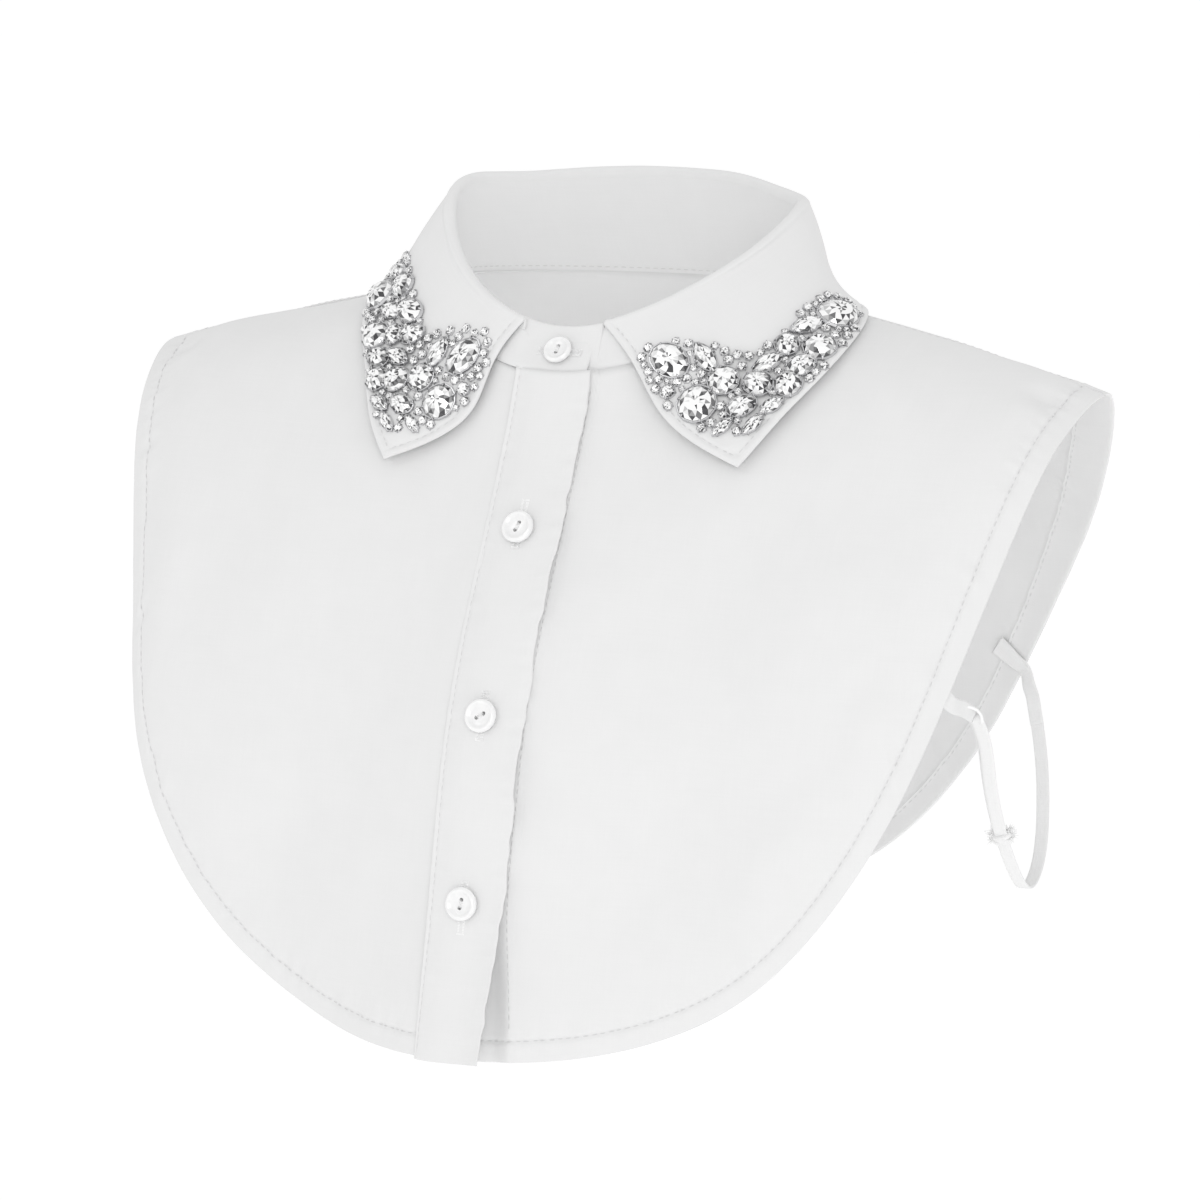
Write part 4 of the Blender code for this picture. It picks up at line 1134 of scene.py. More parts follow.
# Middle points with their small creases, for columns x and a run of r
def placketSurface(x, r):
    swing, run = placketSwing, r * float(lineLength(0))
    points, outs = zip(*(placketPoint(each, r) for each in x))
    middle, out = np.stack(points), np.stack(outs)
    free = np.clip(x / placket["half"], 0, 1)[:, None]**2
    wobble = placket["longWobble"] * rippleAlong(run, *placket["longWaves"], 61) \
        + placket["shortWobble"] * rippleAlong(run, *placket["shortWaves"], 62)
    low = np.clip((r - swing["start"]) / (1 - swing["start"]), 0, 1.2)**swing["bend"]
    loose = ease((x + placket["half"]) / swing["sewnOver"])[:, None]
    middle[..., 0] += wobble * placket["waveEdge"] * free
    middle[..., 0] -= low * (swing["whole"] + swing["far"] * free) * loose
    toSide = (placket["half"] - np.abs(x))[:, None] + 0 * r
    nearStitch = bell(toSide - placket["puckerIn"], placket["puckerReach"])
    sewnSide = bell(toSide - placket["stitchIn"], placket["grooveWidth"]) * (x < 0)[:, None]
    relief = placket["ripple"] * ripple(middle, *placket["waves"], 63) \
        * ease(toSide / placket["rippleIn"])
    pucker = rippleAlong(middle[..., 2], *placket["puckerWaves"], 64)
    relief += placket["pucker"] * pucker * nearStitch
    relief -= placket["groove"] * sewnSide
    return middle + out * relief[..., None], out


def addPlacket(cotton, sewing):
    length = float(lineLength(0))
    across = np.array(placketGrid["across"])
    x = np.concatenate([-across, [0], across[::-1]])
    r = np.concatenate([[placket["top"] / length], np.linspace(*placketGrid["down"]),
                        1 + np.array(placketGrid["hem"]) * placket["belowHem"] / length])
    middle, out = placketSurface(x, r)
    toEnd = np.minimum(r * length - placket["top"], length + placket["belowHem"] - r * length)
    toRim = np.minimum((placket["half"] - np.abs(x))[:, None], toEnd[None, :])
    thick = placket["wall"] / 2 * roundedEdge(toRim, placket["rim"])
    uv = np.stack([x[:, None] + 0 * r, r * length + 0 * x[:, None]], -1)
    piece = clothShell("placket_cloth", middle, out, thick, thick, uv, cotton)
    dress(piece, ["placket"])
    sewnAt = np.array([placket["stitchIn"] - placket["half"]])
    points, outs = placketSurface(sewnAt, np.linspace(*placketGrid["stitches"]))
    sewing.line(points[0] + outs[0] * placket["wall"] / 2, outs[0])
    print("placket made")


# Buttons and buttonholes

# Height in mm, turn of the holes in degrees, buttonhole's reach up and down in mm
buttonColumns = ("height", "holeTurn", "slitUp", "slitDown")
buttonRows = ((-15.0, 84, 7.6, 7.2), (-71.0, 72, 9.6, 6.4), (-130.0, 34, 7.6, 7.4),
              (-190.0, 80, 6.6, 9.6))
buttonShape = dict(profile=((0.02, 0.0), (4.7, 0.0), (5.35, 0.25), (5.6, 1.1), (5.48, 1.55),
                            (5.15, 2.02), (4.65, 2.3), (4.2, 2.18), (3.7, 1.7), (3.1, 1.45),
                            (1.6, 1.33), (0.02, 1.3)),
                   segments=56, hole=0.72, holeSides=20, apart=1.35, seat=0.55, firstScale=0.88)
buttonThread = dict(height=1.55, aside=(-0.42, 0.0, 0.42), size=(1.32, 0.9, 1.0))
buttonhole = dict(step=0.5, half=0.85, lift=0.05, size=(0.55, 1.15, 0.9), barPast=0.3, barHalf=1.2,
                  barCount=6, barLift=0.08, barSize=(0.5, 1.1, 1.0))


def buttonMesh(pearl):
    b = buttonShape
    count = b["segments"]
    verts = []
    for radius, height in b["profile"]:
        for j in range(count):
            turn = 2 * math.pi * j / count
            verts.append((radius * math.cos(turn), radius * math.sin(turn), height))
    body = meshObject("buttonBlank", verts, ringFaces(len(b["profile"]), count), pearl)
    cutters = []
    for way in (-1, 1):
        mesh = bpy.data.meshes.new("buttonHole")
        bm = bmesh.new()
        place = Matrix.Translation((way * b["apart"] * mm, 0, 0.5 * mm))
        bmesh.ops.create_cone(bm, cap_ends=True, segments=b["holeSides"], radius1=b["hole"] * mm,
                              radius2=b["hole"] * mm, depth=8 * mm, matrix=place)
        bm.to_mesh(mesh)
        bm.free()
        cutter = placeObject("buttonHole", mesh)
        cut = body.modifiers.new("hole", "BOOLEAN")
        cut.object, cut.operation, cut.solver = cutter, "DIFFERENCE", "EXACT"
        cutters.append(cutter)
    bpy.context.view_layer.update()
    settled = body.evaluated_get(bpy.context.evaluated_depsgraph_get())
    made = bpy.data.meshes.new_from_object(settled)
    made.shade_smooth()
    made.set_sharp_from_angle(angle=math.radians(40))
    for obj in (*cutters, body):
        bpy.data.objects.remove(obj)
    return made


# Place and outward direction of the first button, on the stand's overlap
def standFrame(height):
    nearFront, shares = np.array([356.0, 360.0, 364.0]), np.array([0, 0.25, 0.5, 0.75, 1])
    column = standSheet(nearFront, shares)[0][1]
    order = np.argsort(column[:, 2])
    face = unitOf(np.cross(np.array([1.0, 0, 0]), unitOf(column[-1] - column[0])))
    place = pointAt(height, column[order, 2], column[order])
    return place + face * (collar["standWall"] / 2), face


# The same for a button on the middle of the placket
def placketFrame(height):
    r = np.linspace(0.02, 0.99, 400)
    (points,), (outs,) = placketSurface(np.array([0.0]), r)
    number = np.arange(len(r))
    at = np.interp(-height, -points[:, 2], number)
    face = unitOf(pointAt(at, number, outs))
    return pointAt(at, number, points) + face * placket["wall"] / 2, face


def addButtons(pearl, sewing, holeSewing):
    blank = buttonMesh(pearl)
    for index, row in enumerate(buttonRows):
        facts = dict(zip(buttonColumns, row))
        place, face = (placketFrame if index else standFrame)(facts["height"])
        level = unitOf(np.cross(upward, face))
        up = np.cross(face, level)
        turn = math.radians(facts["holeTurn"])
        holes = level * math.cos(turn) + up * math.sin(turn)
        side = np.cross(face, holes)
        seat = place + face * buttonShape["seat"]
        mesh = blank.copy()
        if index == 0:
            mesh.transform(Matrix.Scale(buttonShape["firstScale"], 4))
        axes = np.stack([holes, side, face], 1)
        mesh.transform(Matrix([[*axis, at * mm] for axis, at in zip(axes, seat)] + [[0, 0, 0, 1]]))
        piece = placeObject(f"button_{index + 1}_pearl", mesh)
        dress(piece, [f"button_{index + 1}"])
        shift = np.array(buttonThread["aside"])[:, None] * side
        sewing.add(seat + face * buttonThread["height"] + shift, face, holes, buttonThread["size"])
        long, wide = (up, level) if index else (level, up)  # the first buttonhole lies level
        hole = buttonhole
        run = np.arange(-facts["slitDown"], facts["slitUp"], hole["step"])[:, None]
        for way in (-1, 1):
            rung = place + long * run + wide * way * hole["half"] + face * hole["lift"]
            holeSewing.add(rung, face, wide, hole["size"])
        bar = np.linspace(-hole["barHalf"], hole["barHalf"], hole["barCount"])[:, None]
        for end in (-facts["slitDown"] - hole["barPast"], facts["slitUp"] + hole["barPast"]):
            rung = place + long * end + bar * wide + face * hole["barLift"]
            holeSewing.add(rung, face, long, hole["barSize"])
    print("buttons made")


# Stone motifs

# Place on the leaf by fold angle and share of the way down; sizes in mm; turn
# in degrees from straight down; kind is the outline
stoneColumns = ("deg", "share", "length", "width", "turn", "kind", "sides")
stoneRows = (
    (22.6, 0.36, 14.0, 10.0, 14, "oval", "both"), (30.6, 0.444, 12.0, 6.2, -6, "navette", "both"),
    (21.1, 0.682, 12.0, 12.0, 0, "round", "both"), (29.9, 0.633, 9.6, 9.6, 0, "round", "both"),
    (17.6, 0.54, 4.6, 4.6, 0, "round", "both"), (28.2, 0.82, 9.6, 6.6, 66, "oval", "both"),
    (20.9, 0.85, 8.0, 3.8, 80, "navette", "both"), (26.1, 0.927, 8.6, 4.0, 85, "navette", "both"),
    (33.8, 0.92, 8.6, 4.4, 78, "navette", "both"), (36.1, 0.766, 9.4, 8.6, 30, "oval", "both"),
    (42.3, 0.89, 8.6, 8.6, 0, "round", "both"), (42.5, 0.697, 11.0, 5.6, 84, "navette", "both"),
    (49.8, 0.862, 9.8, 7.4, 80, "oval", "both"), (51.3, 0.695, 7.6, 7.6, 0, "round", "both"),
    (58.6, 0.872, 10.2, 10.2, 0, "round", "both"), (60.9, 0.70, 11.4, 5.8, 80, "navette", "both"),
    (73.0, 0.82, 14.0, 11.8, 84, "oval", "both"), (43.4, 0.529, 10.0, 7.0, 50, "oval", "right"),
    (52.0, 0.50, 12.5, 8.4, 84, "oval", "right"), (63.5, 0.53, 9.0, 9.0, 0, "round", "right"),
    (73.5, 0.60, 11.0, 6.0, 80, "oval", "right"),
)
motifScale = {"left": 1.06, "right": 1.0}
beadSizes = (3.3, 2.8, 2.3)
# The motif's edge: fold angle, then share of the way down on the left and on the right
motifEdge = (
    (15.2, 0.34, 0.30), (17.0, 0.25, 0.20), (20.5, 0.21, 0.15), (26.0, 0.23, 0.17),
    (31.0, 0.31, 0.26), (35.0, 0.40, 0.36), (37.5, 0.52, 0.44), (43.0, 0.60, 0.44),
    (50.0, 0.61, 0.41), (58.0, 0.60, 0.42), (66.0, 0.60, 0.44), (74.0, 0.64, 0.47),
    (81.0, 0.70, 0.56), (84.0, 0.84, 0.80), (81.0, 0.95, 0.94), (72.0, 0.975, 0.96),
    (62.0, 0.975, 0.965), (52.0, 0.975, 0.97), (42.0, 0.965, 0.965), (34.0, 0.96, 0.96),
    (26.0, 0.955, 0.955), (21.5, 0.90, 0.90), (18.2, 0.85, 0.85), (16.4, 0.74, 0.74),
    (15.6, 0.60, 0.60), (15.0, 0.46, 0.44),
)
beads = dict(tries=9000, degs=(14, 85), shares=(0.14, 0.98), gap=0.2, beadGap=0.12)
stoneCut = dict(depth=0.36, deepest=9.0, table=0.58, crown=0.84, crownUp=0.52, star=0.28,
                starUp=0.02, foot=0.97, sway=0.05, smallUnder=4, fourClawsUnder=5.5, clawOut=1.03)
bigStone = dict(sides=14, sway=1.0, seat=0.6875, girdle=0.5, tall=0.72, claw=1.0)
smallStone = dict(sides=8, sway=0.6, seat=0.385, girdle=0.3, tall=0.62, claw=0.55)
# Painted reflections: the greys a facet may show, and how often each comes on the flanks and on the
# crown, whose facets are mostly white as a painted highlight
paintedGlintShades = (0.015, 0.05, 0.14, 0.30, 0.55, 0.80, 1.0)
flankGlintShares = (0.14, 0.09, 0.07, 0.08, 0.11, 0.15, 0.36)
crownGlintShares = (0.06, 0.05, 0.04, 0.05, 0.08, 0.14, 0.58)


# Point on the fall's outer face with its down, across and outward directions
def leafFrame(deg, share, step=0.004, degStep=0.3):
    point = fallPoint(deg, share)
    down = unitOf(fallPoint(deg, share + step) - fallPoint(deg, share - step))
    across = fallPoint(deg + degStep, share) - fallPoint(deg - degStep, share)
    out = unitOf(np.cross(down, across))
    return point + out * (collar["fallWall"] / 2), down, np.cross(out, down), out


# Girdle points of one stone about its middle, long way first
def stoneOutline(kind, length, width, count):
    turn = np.linspace(0, 2 * np.pi, count, endpoint=False)
    x, y = np.cos(turn), np.sin(turn)
    if kind == "navette":
        y = np.sign(y) * np.abs(y)**1.7
    return np.stack([x * length / 2, y * width / 2], -1)


def insideLoop(point, loop):
    x, y = point
    hit = False
    for (x0, y0), (x1, y1) in zip(loop, np.roll(loop, -1, 0)):
        if (y0 > y) != (y1 > y) and x < x0 + (y - y0) * (x1 - x0) / (y1 - y0):
            hit = not hit
    return hit


# A stone's directions along its length and its width
def stoneWays(facts, side, down, across, out):
    turn = math.radians(facts["turn"]) * side
    long = down * math.cos(turn) + across * math.sin(turn)
    return long, np.cross(out, long)


# All stones of one collar point: the chosen large ones, then small round ones wherever
# they fit between them, largest first
def motifLayout(side, word):
    stones, outlines = [], []
    for row in stoneRows:
        facts = dict(zip(stoneColumns, row))
        if facts["sides"] not in ("both", word):
            continue
        facts["length"] *= motifScale[word]
        facts["width"] *= motifScale[word]
        place, down, across, out = leafFrame(foldAngle(facts["deg"], side), facts["share"])
        stones.append((facts, place, down, across, out))
        long, wide = stoneWays(facts, side, down, across, out)
        loop = stoneOutline(facts["kind"], facts["length"], facts["width"], 24)
        outlines.append(place + loop[:, :1] * long + loop[:, 1:] * wide)
    rim = np.concatenate(outlines)
    centres = np.array([place for _, place, *_ in stones])
    reach = np.array([facts["width"] / 2 for facts, *_ in stones])
    edge = np.array(motifEdge)[:, [0, 1 if side > 0 else 2]]
    rng = np.random.default_rng(5)
    tries = np.stack([rng.uniform(*beads["degs"], beads["tries"]),
                      rng.uniform(*beads["shares"], beads["tries"])], -1)
    tries = np.array([each for each in tries if insideLoop(each, edge)])
    spots = leafFrame(foldAngle(tries[:, 0], side), tries[:, 1])
    small = []
    for size in beadSizes:
        for place, down, across, out in zip(*spots):
            if np.min(np.linalg.norm(centres - place, axis=-1) - reach) < size / 2 \
                    or np.min(np.linalg.norm(rim - place, axis=-1)) < size / 2 + beads["gap"] \
                    or any(np.linalg.norm(other - place) - bead["width"] / 2
                           < size / 2 + beads["beadGap"] for bead, other, *_ in small):
                continue
            facts = dict(length=size, width=size, turn=rng.uniform(0, 90), kind="round")
            small.append((facts, place, down, across, out))
    return stones + small


def foldAngle(deg, side):
    return deg if side > 0 else 360 - np.asarray(deg)


# Faceted stones in metal cups; each facet gets a painted reflection from near black to white,
# mostly white on the crown as a painted highlight
def addMotif(side, word, glass, silver, prongShape):
    rng = np.random.default_rng(23 if side > 0 else 29)
    verts, faces, facetGlints = [], [], []
    cupVerts, cupFaces = [], []
    prongs = Sewing()
    for facts, place, down, across, out in motifLayout(side, word):
        make = smallStone if facts["length"] < stoneCut["smallUnder"] else bigStone
        long, wide = stoneWays(facts, side, down, across, out)
        tip = rng.normal(0, stoneCut["sway"], 2) * make["sway"]
        lean = unitOf(out + long * tip[0] + wide * tip[1])
        count = make["sides"]
        tall = stoneCut["depth"] * min(facts["width"], stoneCut["deepest"])
        seat = make["seat"]
        girdle = seat + make["girdle"]
        top = girdle + tall * make["tall"]

        def ring(scale, height, twist=0):
            loop = stoneOutline(facts["kind"], facts["length"], facts["width"], count * 2)[twist::2]
            return place + (loop[:, :1] * long + loop[:, 1:] * wide) * scale + lean * height
        base = len(verts)
        verts.extend(ring(stoneCut["foot"], seat))
        verts.extend(ring(1.0, girdle))
        verts.extend(ring(stoneCut["crown"], girdle + (top - girdle) * stoneCut["crownUp"], 1))
        verts.extend(ring(stoneCut["table"], top))
        verts.extend(ring(stoneCut["star"], top + stoneCut["starUp"] * tall, 1))
        verts += [place + lean * top, place + lean * seat]
        hub, foot = len(verts) - 2, len(verts) - 1

        def facet(*corners, shares=flankGlintShares):
            faces.append(corners)
            facetGlints.append(rng.choice(paintedGlintShades, p=shares))
        for j in range(count):
            a = [base + count * level + j for level in range(5)]
            b = [base + count * level + (j + 1) % count for level in range(5)]
            facet(a[0], b[0], b[1], a[1])
            facet(a[1], b[1], a[2])
            facet(b[1], b[2], a[2])
            facet(a[2], b[3], a[3]) if j % 2 else facet(a[2], b[2], b[3])
            facet(a[2], b[2], b[3]) if j % 2 else facet(a[2], b[3], a[3])
            facet(a[3], b[3], a[4], shares=crownGlintShares)
            facet(b[3], b[4], a[4], shares=crownGlintShares)
            facet(a[4], b[4], hub, shares=crownGlintShares)
            faces.append((b[0], a[0], foot))
            facetGlints.append(0.3)
        cup = len(cupVerts)
        levels = ((1.10, 0.02), (1.13, seat * 0.6), (1.09, girdle - 0.05), (1.02, girdle - 0.02),
                  (0.96, seat * 0.5), (0.5, seat * 0.4))
        for scale, height in levels:
            cupVerts.extend(ring(scale, height))
        cupFaces += ringFaces(len(levels), count, cup)
        number = 4 if facts["width"] < stoneCut["fourClawsUnder"] else 6
        rim = stoneOutline(facts["kind"], facts["length"], facts["width"], number * 4)[2::4]
        around = (rim[:, :1] * long + rim[:, 1:] * wide) * stoneCut["clawOut"]
        spots = place + around + lean * girdle
        prongs.add(spots, lean, unitOf(place + lean * girdle - spots), (make["claw"],) * 3)
    gems = meshObject(f"stones_{word}_glass", verts, faces, glass, smooth=False)
    # Painted reflection shade of each facet
    layer = gems.data.attributes.new("paintedGlintShade", "FLOAT", "FACE")
    layer.data.foreach_set("value", np.array(facetGlints, np.float32))
    dress(gems, [f"stones_{word}"])
    cups = meshObject(f"stones_{word}_settings", cupVerts, cupFaces, silver, smooth=False)
    dress(cups, [])
    prongs.make(f"stones_{word}_prongs", prongShape, silver, "stone_glass")
    print(f"stone motif {word}: {len(verts)} points")


prongPath = ((-0.30, -1.1, 0.42), (-0.26, -0.2, 0.40), (-0.05, 0.35, 0.36), (0.45, 0.62, 0.30),
             (0.85, 0.66, 0.16))  # along, up, half width
prongLook = dict(sides=6, bendAt=0.3, flat=0.5)


# A bent claw: up beside the girdle, then in over the stone along X
def prongMesh(silver):
    verts = []
    for x, z, half in prongPath:
        acrossX, acrossZ = (1, 0.2) if z < prongLook["bendAt"] else (0.3, 1.0)
        thin = half * prongLook["flat"]
        for turn in range(prongLook["sides"]):
            angle = math.tau / prongLook["sides"] * turn
            verts.append((x + thin * math.cos(angle) * acrossX, half * math.sin(angle),
                          z + thin * math.cos(angle) * acrossZ))
    return meshObject("oneProng", verts, ringFaces(len(prongPath), prongLook["sides"]), silver)


# Elastic side straps

strapPath = (
    (152.4, -60.0, -123.0), (153.5, -54.0, -131.4), (153.0, -47.0, -143.8), (152.0, -38.0, -156.9),
    (151.0, -28.0, -167.7), (150.0, -17.0, -177.5), (148.6, -5.0, -185.6), (147.0, 8.0, -190.2),
    (145.5, 20.0, -187.2), (143.5, 30.0, -179.7), (140.5, 39.0, -167.8), (137.1, 46.0, -155.3),
    (133.0, 51.5, -142.6), (129.5, 55.0, -133.0),
)
strap = dict(width=4.4, thick=0.9, knotAt=4, steps=120)
secondLayer = dict(pastKnot=2.0, apart=0.05, loose=0.8, looseOut=0.3, aside=0.7, asideTop=0.4,
                   narrower=0.1)
bandSection = ((-1, -0.35), (-0.93, -0.8), (-0.78, -1), (-0.4, -1), (0, -1), (0.4, -1), (0.78, -1),
               (0.93, -0.8), (1, -0.35), (1, 0.35), (0.93, 0.8), (0.78, 1), (0.4, 1), (0, 1),
               (-0.4, 1), (-0.78, 1), (-0.93, 0.8), (-1, 0.35))


def smoothPath(points, steps):
    run = runOf(np.array(points, float))
    return smoothCurve(run, points)(np.linspace(0, run[-1], steps)), run


# Flat woven band with rounded sides along a path
def ribbon(name, path, wideWay, halfWidth, halfThick, mat):
    along = unitOf(np.gradient(path, axis=0))
    wide = unitOf(wideWay - along * np.sum(wideWay * along, axis=-1, keepdims=True))
    thin = np.cross(along, wide)
    halfWidth = np.broadcast_to(halfWidth, len(path))[:, None]
    sides = [path + wide * halfWidth * a + thin * halfThick * b for a, b in bandSection]
    across = np.array([a for a, _ in bandSection]) * halfWidth[0]
    uv = np.stack(np.broadcast_arrays(across, runOf(path)[:, None]), -1).reshape(-1, 2)
    return closedBand(name, sides, mat, uv)


# Round thread along a path
def tube(name, path, radius, mat, sides=8):
    along = unitOf(np.gradient(path, axis=0))
    side = unitOf(np.cross(along, np.array([0.31, 0.42, 0.85])))  # any way off the path
    up = np.cross(along, side)
    radius = np.broadcast_to(radius, len(path))[:, None]
    turns = np.linspace(0, 2 * np.pi, sides, endpoint=False)
    return closedBand(name, [path + (side * math.cos(turn) + up * math.sin(turn)) * radius
                             for turn in turns], mat)


knot = dict(wraps=((-1, -1.35), (1, 0.0), (-0.4, 1.35)), tilt=16.0, sink=0.45, wider=0.55, deep=1.4,
            wrapHalf=0.95, band=0.7, tails=((1, 0.62), (-1, 0.12)), tailSink=1.5, tailRise=0.5,
            tailFrom=0.9, tail=1.9, tailDrop=3.0, tailBend=1.4, tailHalf=2.1, tailThick=0.4)
fray = dict(strands=60, strand=3.6, radius=0.26, thinner=0.7, rise=0.5, bend=0.9, across=2.8,
            into=(0.4, 1.8), length=(0.5, 1.1), sway=0.5)


# One loose thread end along X, bent and thinning to its tip
def frayShape(mat):
    k = np.linspace(0, 1, 6)
    bent = fray["bend"] * k**2 * (1 - 0.3 * k)
    path = np.stack([k * fray["strand"], fray["rise"] * k**2, bent], -1)
    return tube("oneFray", path, fray["radius"] * (1 - fray["thinner"] * k), mat, sides=5)


# The elastic's folded end tied back on itself: wraps, two tails and loose threads
def knotPieces(word, mirror, path, reach, where, wideWay, elastic, whiteThread, frayed):
    i = int(np.argmin(np.abs(reach - where)))
    along = unitOf(path[i + 2] - path[i - 2])
    wide = unitOf(wideWay[0] - along * (wideWay[0] @ along))
    thin = np.cross(along, wide)
    pieces = []
    turn = np.linspace(0, 2 * np.pi, 41)[:-1, None]
    for n, (tilt, rise) in enumerate(knot["wraps"]):
        lean = math.radians(knot["tilt"]) * tilt
        around = wide * math.cos(lean) + along * math.sin(lean)
        ring = path[i] - thin * knot["sink"] + along * rise \
            + np.cos(turn) * around * (strap["width"] / 2 + knot["wider"]) \
            + np.sin(turn) * thin * knot["deep"]
        pieces.append(ribbon(f"strap_knot_{word}_wrap_{n + 1}", ring * mirror,
                             (along + 0 * ring) * mirror, knot["wrapHalf"], knot["band"], elastic))
    frays = Sewing()
    rng = np.random.default_rng(77)
    for n, (way, drop) in enumerate(knot["tails"]):
        k = np.linspace(0, 1, 12)[:, None]
        tail = path[i] - thin * (knot["tailSink"] - knot["tailRise"] * k) \
            + wide * way * (knot["tailFrom"] + knot["tail"] * k) \
            - along * (drop * knot["tailDrop"] * k**knot["tailBend"])
        pieces.append(ribbon(f"strap_knot_{word}_tail_{n + 1}", tail * mirror,
                             (along + 0 * tail) * mirror, knot["tailHalf"], knot["tailThick"],
                             elastic))
        heading = unitOf(tail[-1] - tail[-3])
        for _ in range(fray["strands"]):
            lie = unitOf(heading + rng.normal(0, fray["sway"], 3))
            stand = unitOf(np.cross(lie, rng.normal(0, 1, 3)))
            spot = tail[-1] + along * rng.uniform(-fray["across"], fray["across"]) \
                - heading * rng.uniform(*fray["into"])
            frays.add((spot * mirror)[None], stand * mirror, lie * mirror,
                      (rng.uniform(*fray["length"]), 1.0, 1.0))
    return pieces + [frays.copies(f"strap_knot_{word}_frays", frayed, whiteThread)]


tape = dict(inside=8.0, past=0.9, under=0.55, steps=30, awayFrom=0.97)
frontTape = dict(station=4.85, width=5.2, thick=0.7)
backTape = dict(station=12.1, turn=0.15, further=6.0, steps=60, cover=0.12, flare=1.2,
                flareShare=0.45, blendFrom=0.35, blendOver=0.4, alignAt=36)
# Away to the side, up and towards the viewer from the strap's upper end, in mm
threadLoop = dict(radius=0.5, steps=36,
                  route=((-8.0, 1.3, 0.9), (-6.2, 2.7, 2.7), (-3.5, 3.4, 3.3), (-1.0, 3.0, 3.2),
                         (1.0, 1.7, 2.8), (2.0, -0.2, 2.2), (2.3, -2.0, 0.9)))


# From the hem's inner face, out past the edge, to the strap's end; wideWay is its width
def tapePath(station, turn, inside, strapEnd):
    length = float(lineLength(station))
    points = []
    for reach in (-inside, -inside / 2, -1.0, tape["past"]):
        r = 1 + reach / length
        t = station + turn * -reach / inside
        out = outward(bibPoint, np.array(t), np.array(r))
        points.append(bibPoint(t, r) - out * (bib["cloth"] / 2 + bib["turned"] + tape["under"]))
    gap = strapEnd - points[-1]
    points += [points[-1] + gap * 0.5, strapEnd - unitOf(gap) * 0.2]
    return smoothPath(points, tape["steps"])[0]


# Width direction of a tape that lies flat on the bib
def tapeWide(route, station):
    out = outward(bibPoint, np.array(station), np.array(tape["awayFrom"]))
    return np.cross(np.gradient(route, axis=0), out)


def addTapes(word, mirror, path, wideWay, elastic, cotton):
    route = tapePath(frontTape["station"], 0.0, tape["inside"], path[0])
    flatWay = tapeWide(route, frontTape["station"])
    front = ribbon(f"strap_tab_front_{word}_tape", route * mirror, flatWay * mirror,
                   frontTape["width"] / 2, frontTape["thick"] / 2, cotton)
    dress(front, [f"strap_tab_front_{word}"])
    steps, cover = backTape["steps"], backTape["cover"]
    route = tapePath(backTape["station"], backTape["turn"], tape["inside"] + backTape["further"],
                     path[-1])
    route = smoothPath(np.concatenate([route[:-3:4], path[[-1, -4, -8]]]), steps)[0]
    flatWay = tapeWide(route, backTape["station"])
    k = np.arange(steps) / (steps - 1)
    blend = ease((k - backTape["blendFrom"]) / backTape["blendOver"])[:, None]
    sign = np.sign(np.sum(flatWay[backTape["alignAt"]] * wideWay[0]))
    flatWay = unitOf(flatWay) * sign * (1 - blend) + wideWay[0] * blend
    flare = backTape["flare"] * (1 - ease(k / backTape["flareShare"]))
    back = ribbon(f"strap_tab_back_{word}_tape", route * mirror, flatWay * mirror,
                  strap["width"] / 2 + cover + flare, strap["thick"] / 2 + cover, elastic)
    dress(back, [f"strap_tab_back_{word}"])


# The loose end of the sewing thread, looping in front of the strap's upper end
def loopThread(word, mirror, start, whiteThread):
    turn = math.radians(view["azimuth"])
    right = np.array([math.cos(turn), math.sin(turn), 0])
    near = np.array([right[1], -right[0], 0])
    loop = [start + right * a + upward * b + near * c for a, b, c in threadLoop["route"]]
    path = smoothPath(loop, threadLoop["steps"])[0]
    return tube(f"strap_loop_{word}_thread", path * mirror, threadLoop["radius"], whiteThread)


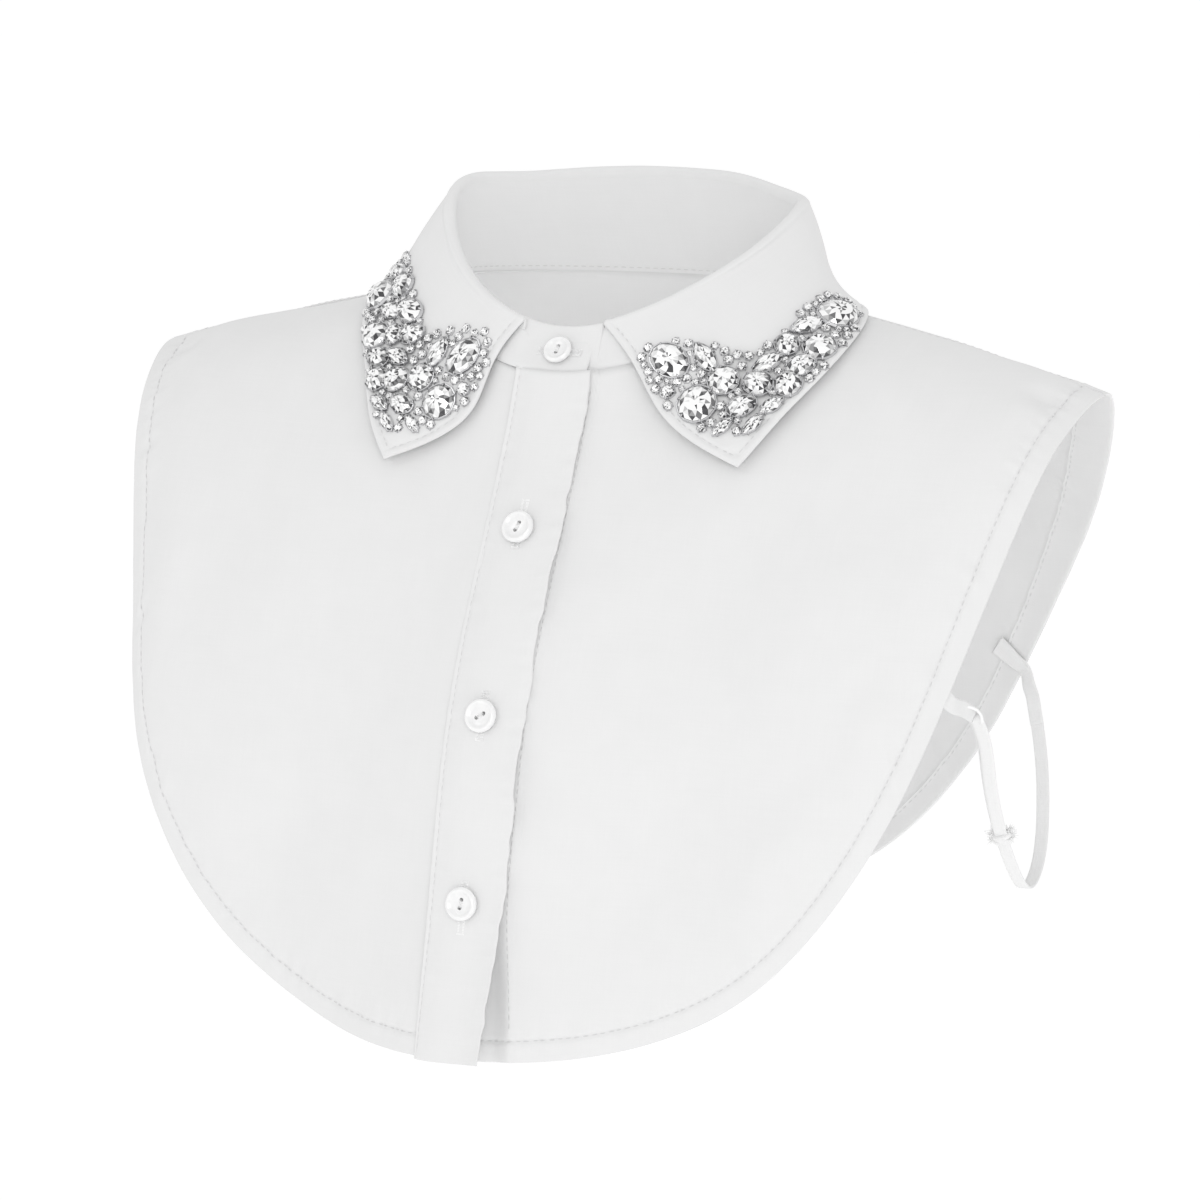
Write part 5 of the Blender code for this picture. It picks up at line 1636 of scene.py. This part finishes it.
def addStraps(elastic, cotton, whiteThread):
    frayed = frayShape(whiteThread)
    path, run = smoothPath(strapPath, strap["steps"])
    reach = np.linspace(0, run[-1], strap["steps"])
    where = run[strap["knotAt"]]
    ends = path[-1] - path[0]
    wideWay = unitOf(np.array([ends[1], -ends[0], 0.0])) * np.ones_like(path)
    thin = unitOf(np.cross(unitOf(np.gradient(path, axis=0)), wideWay))
    layer = secondLayer
    upper = reach < where + layer["pastKnot"]
    share = np.clip((reach[upper] / where)[:, None], 0, 1)
    loose = np.sin(np.pi * share) * layer["loose"] * layer["looseOut"]
    second = path[upper] - thin[upper] * (strap["thick"] + layer["apart"] + loose) \
        - wideWay[upper] * (layer["aside"] + layer["asideTop"] * (1 - share)**2)
    for side, word in ((1, "left"), (-1, "right")):
        mirror = np.array([side, 1, 1])
        piece = ribbon(f"strap_{word}_elastic", path * mirror, wideWay * mirror,
                       strap["width"] / 2, strap["thick"] / 2, elastic)
        extras = [ribbon(f"strap_{word}_second_layer", second * mirror, wideWay[upper] * mirror,
                         strap["width"] / 2 - layer["narrower"], strap["thick"] / 2, elastic)]
        extras += knotPieces(word, mirror, path, reach, where, wideWay, elastic, whiteThread,
                             frayed)
        addTapes(word, mirror, path, wideWay, elastic, cotton)
        extras.append(loopThread(word, mirror, path[0], whiteThread))
        dress(piece, [f"strap_{word}", f"strap_knot_{word}"])
        for extra in extras:
            dress(extra, [])
    bpy.data.objects.remove(frayed)
    print("straps made")


# Build

addCamera()
addStudio()
addFloor()
print("camera, lights and floor set")
weaveGroup()
copyTree()
cotton, elastic = wovenFinish("whiteShirting", cottonLook), wovenFinish("whiteElastic", elasticLook)
whiteThread = newFinish("whiteThread", whiteThreadShading)
shadeGreyedThread = newFinish("thread", shadeGreyedThreadShading)
pearl, glass = pearlFinish(), paintedGlintGlassFinish()
silver = newFinish("settingSilver", silverShading)
print("finishes made")
addStraps(elastic, cotton, whiteThread)
stitch = stitchShape(shadeGreyedThread)
bibSewing, collarSewing, buttonSewing, holeSewing = Sewing(), Sewing(), Sewing(), Sewing()
addBib(cotton)
hemStitches(bibSewing)
addFall(cotton, collarSewing)
addStand(cotton, collarSewing)
addPlacket(cotton, bibSewing)
addButtons(pearl, buttonSewing, holeSewing)
bibSewing.make("bib_stitches", stitch, shadeGreyedThread, "cotton")
collarSewing.make("collar_stitches", stitch, shadeGreyedThread, "cotton")
buttonSewing.make("button_thread", stitch, whiteThread, "cotton")
holeSewing.make("buttonhole_stitches", stitch, whiteThread, "cotton")
prong = prongMesh(silver)
for side, word in ((1, "left"), (-1, "right")):
    addMotif(side, word, glass, silver, prong)
for shape in (stitch, prong):
    bpy.data.objects.remove(shape)
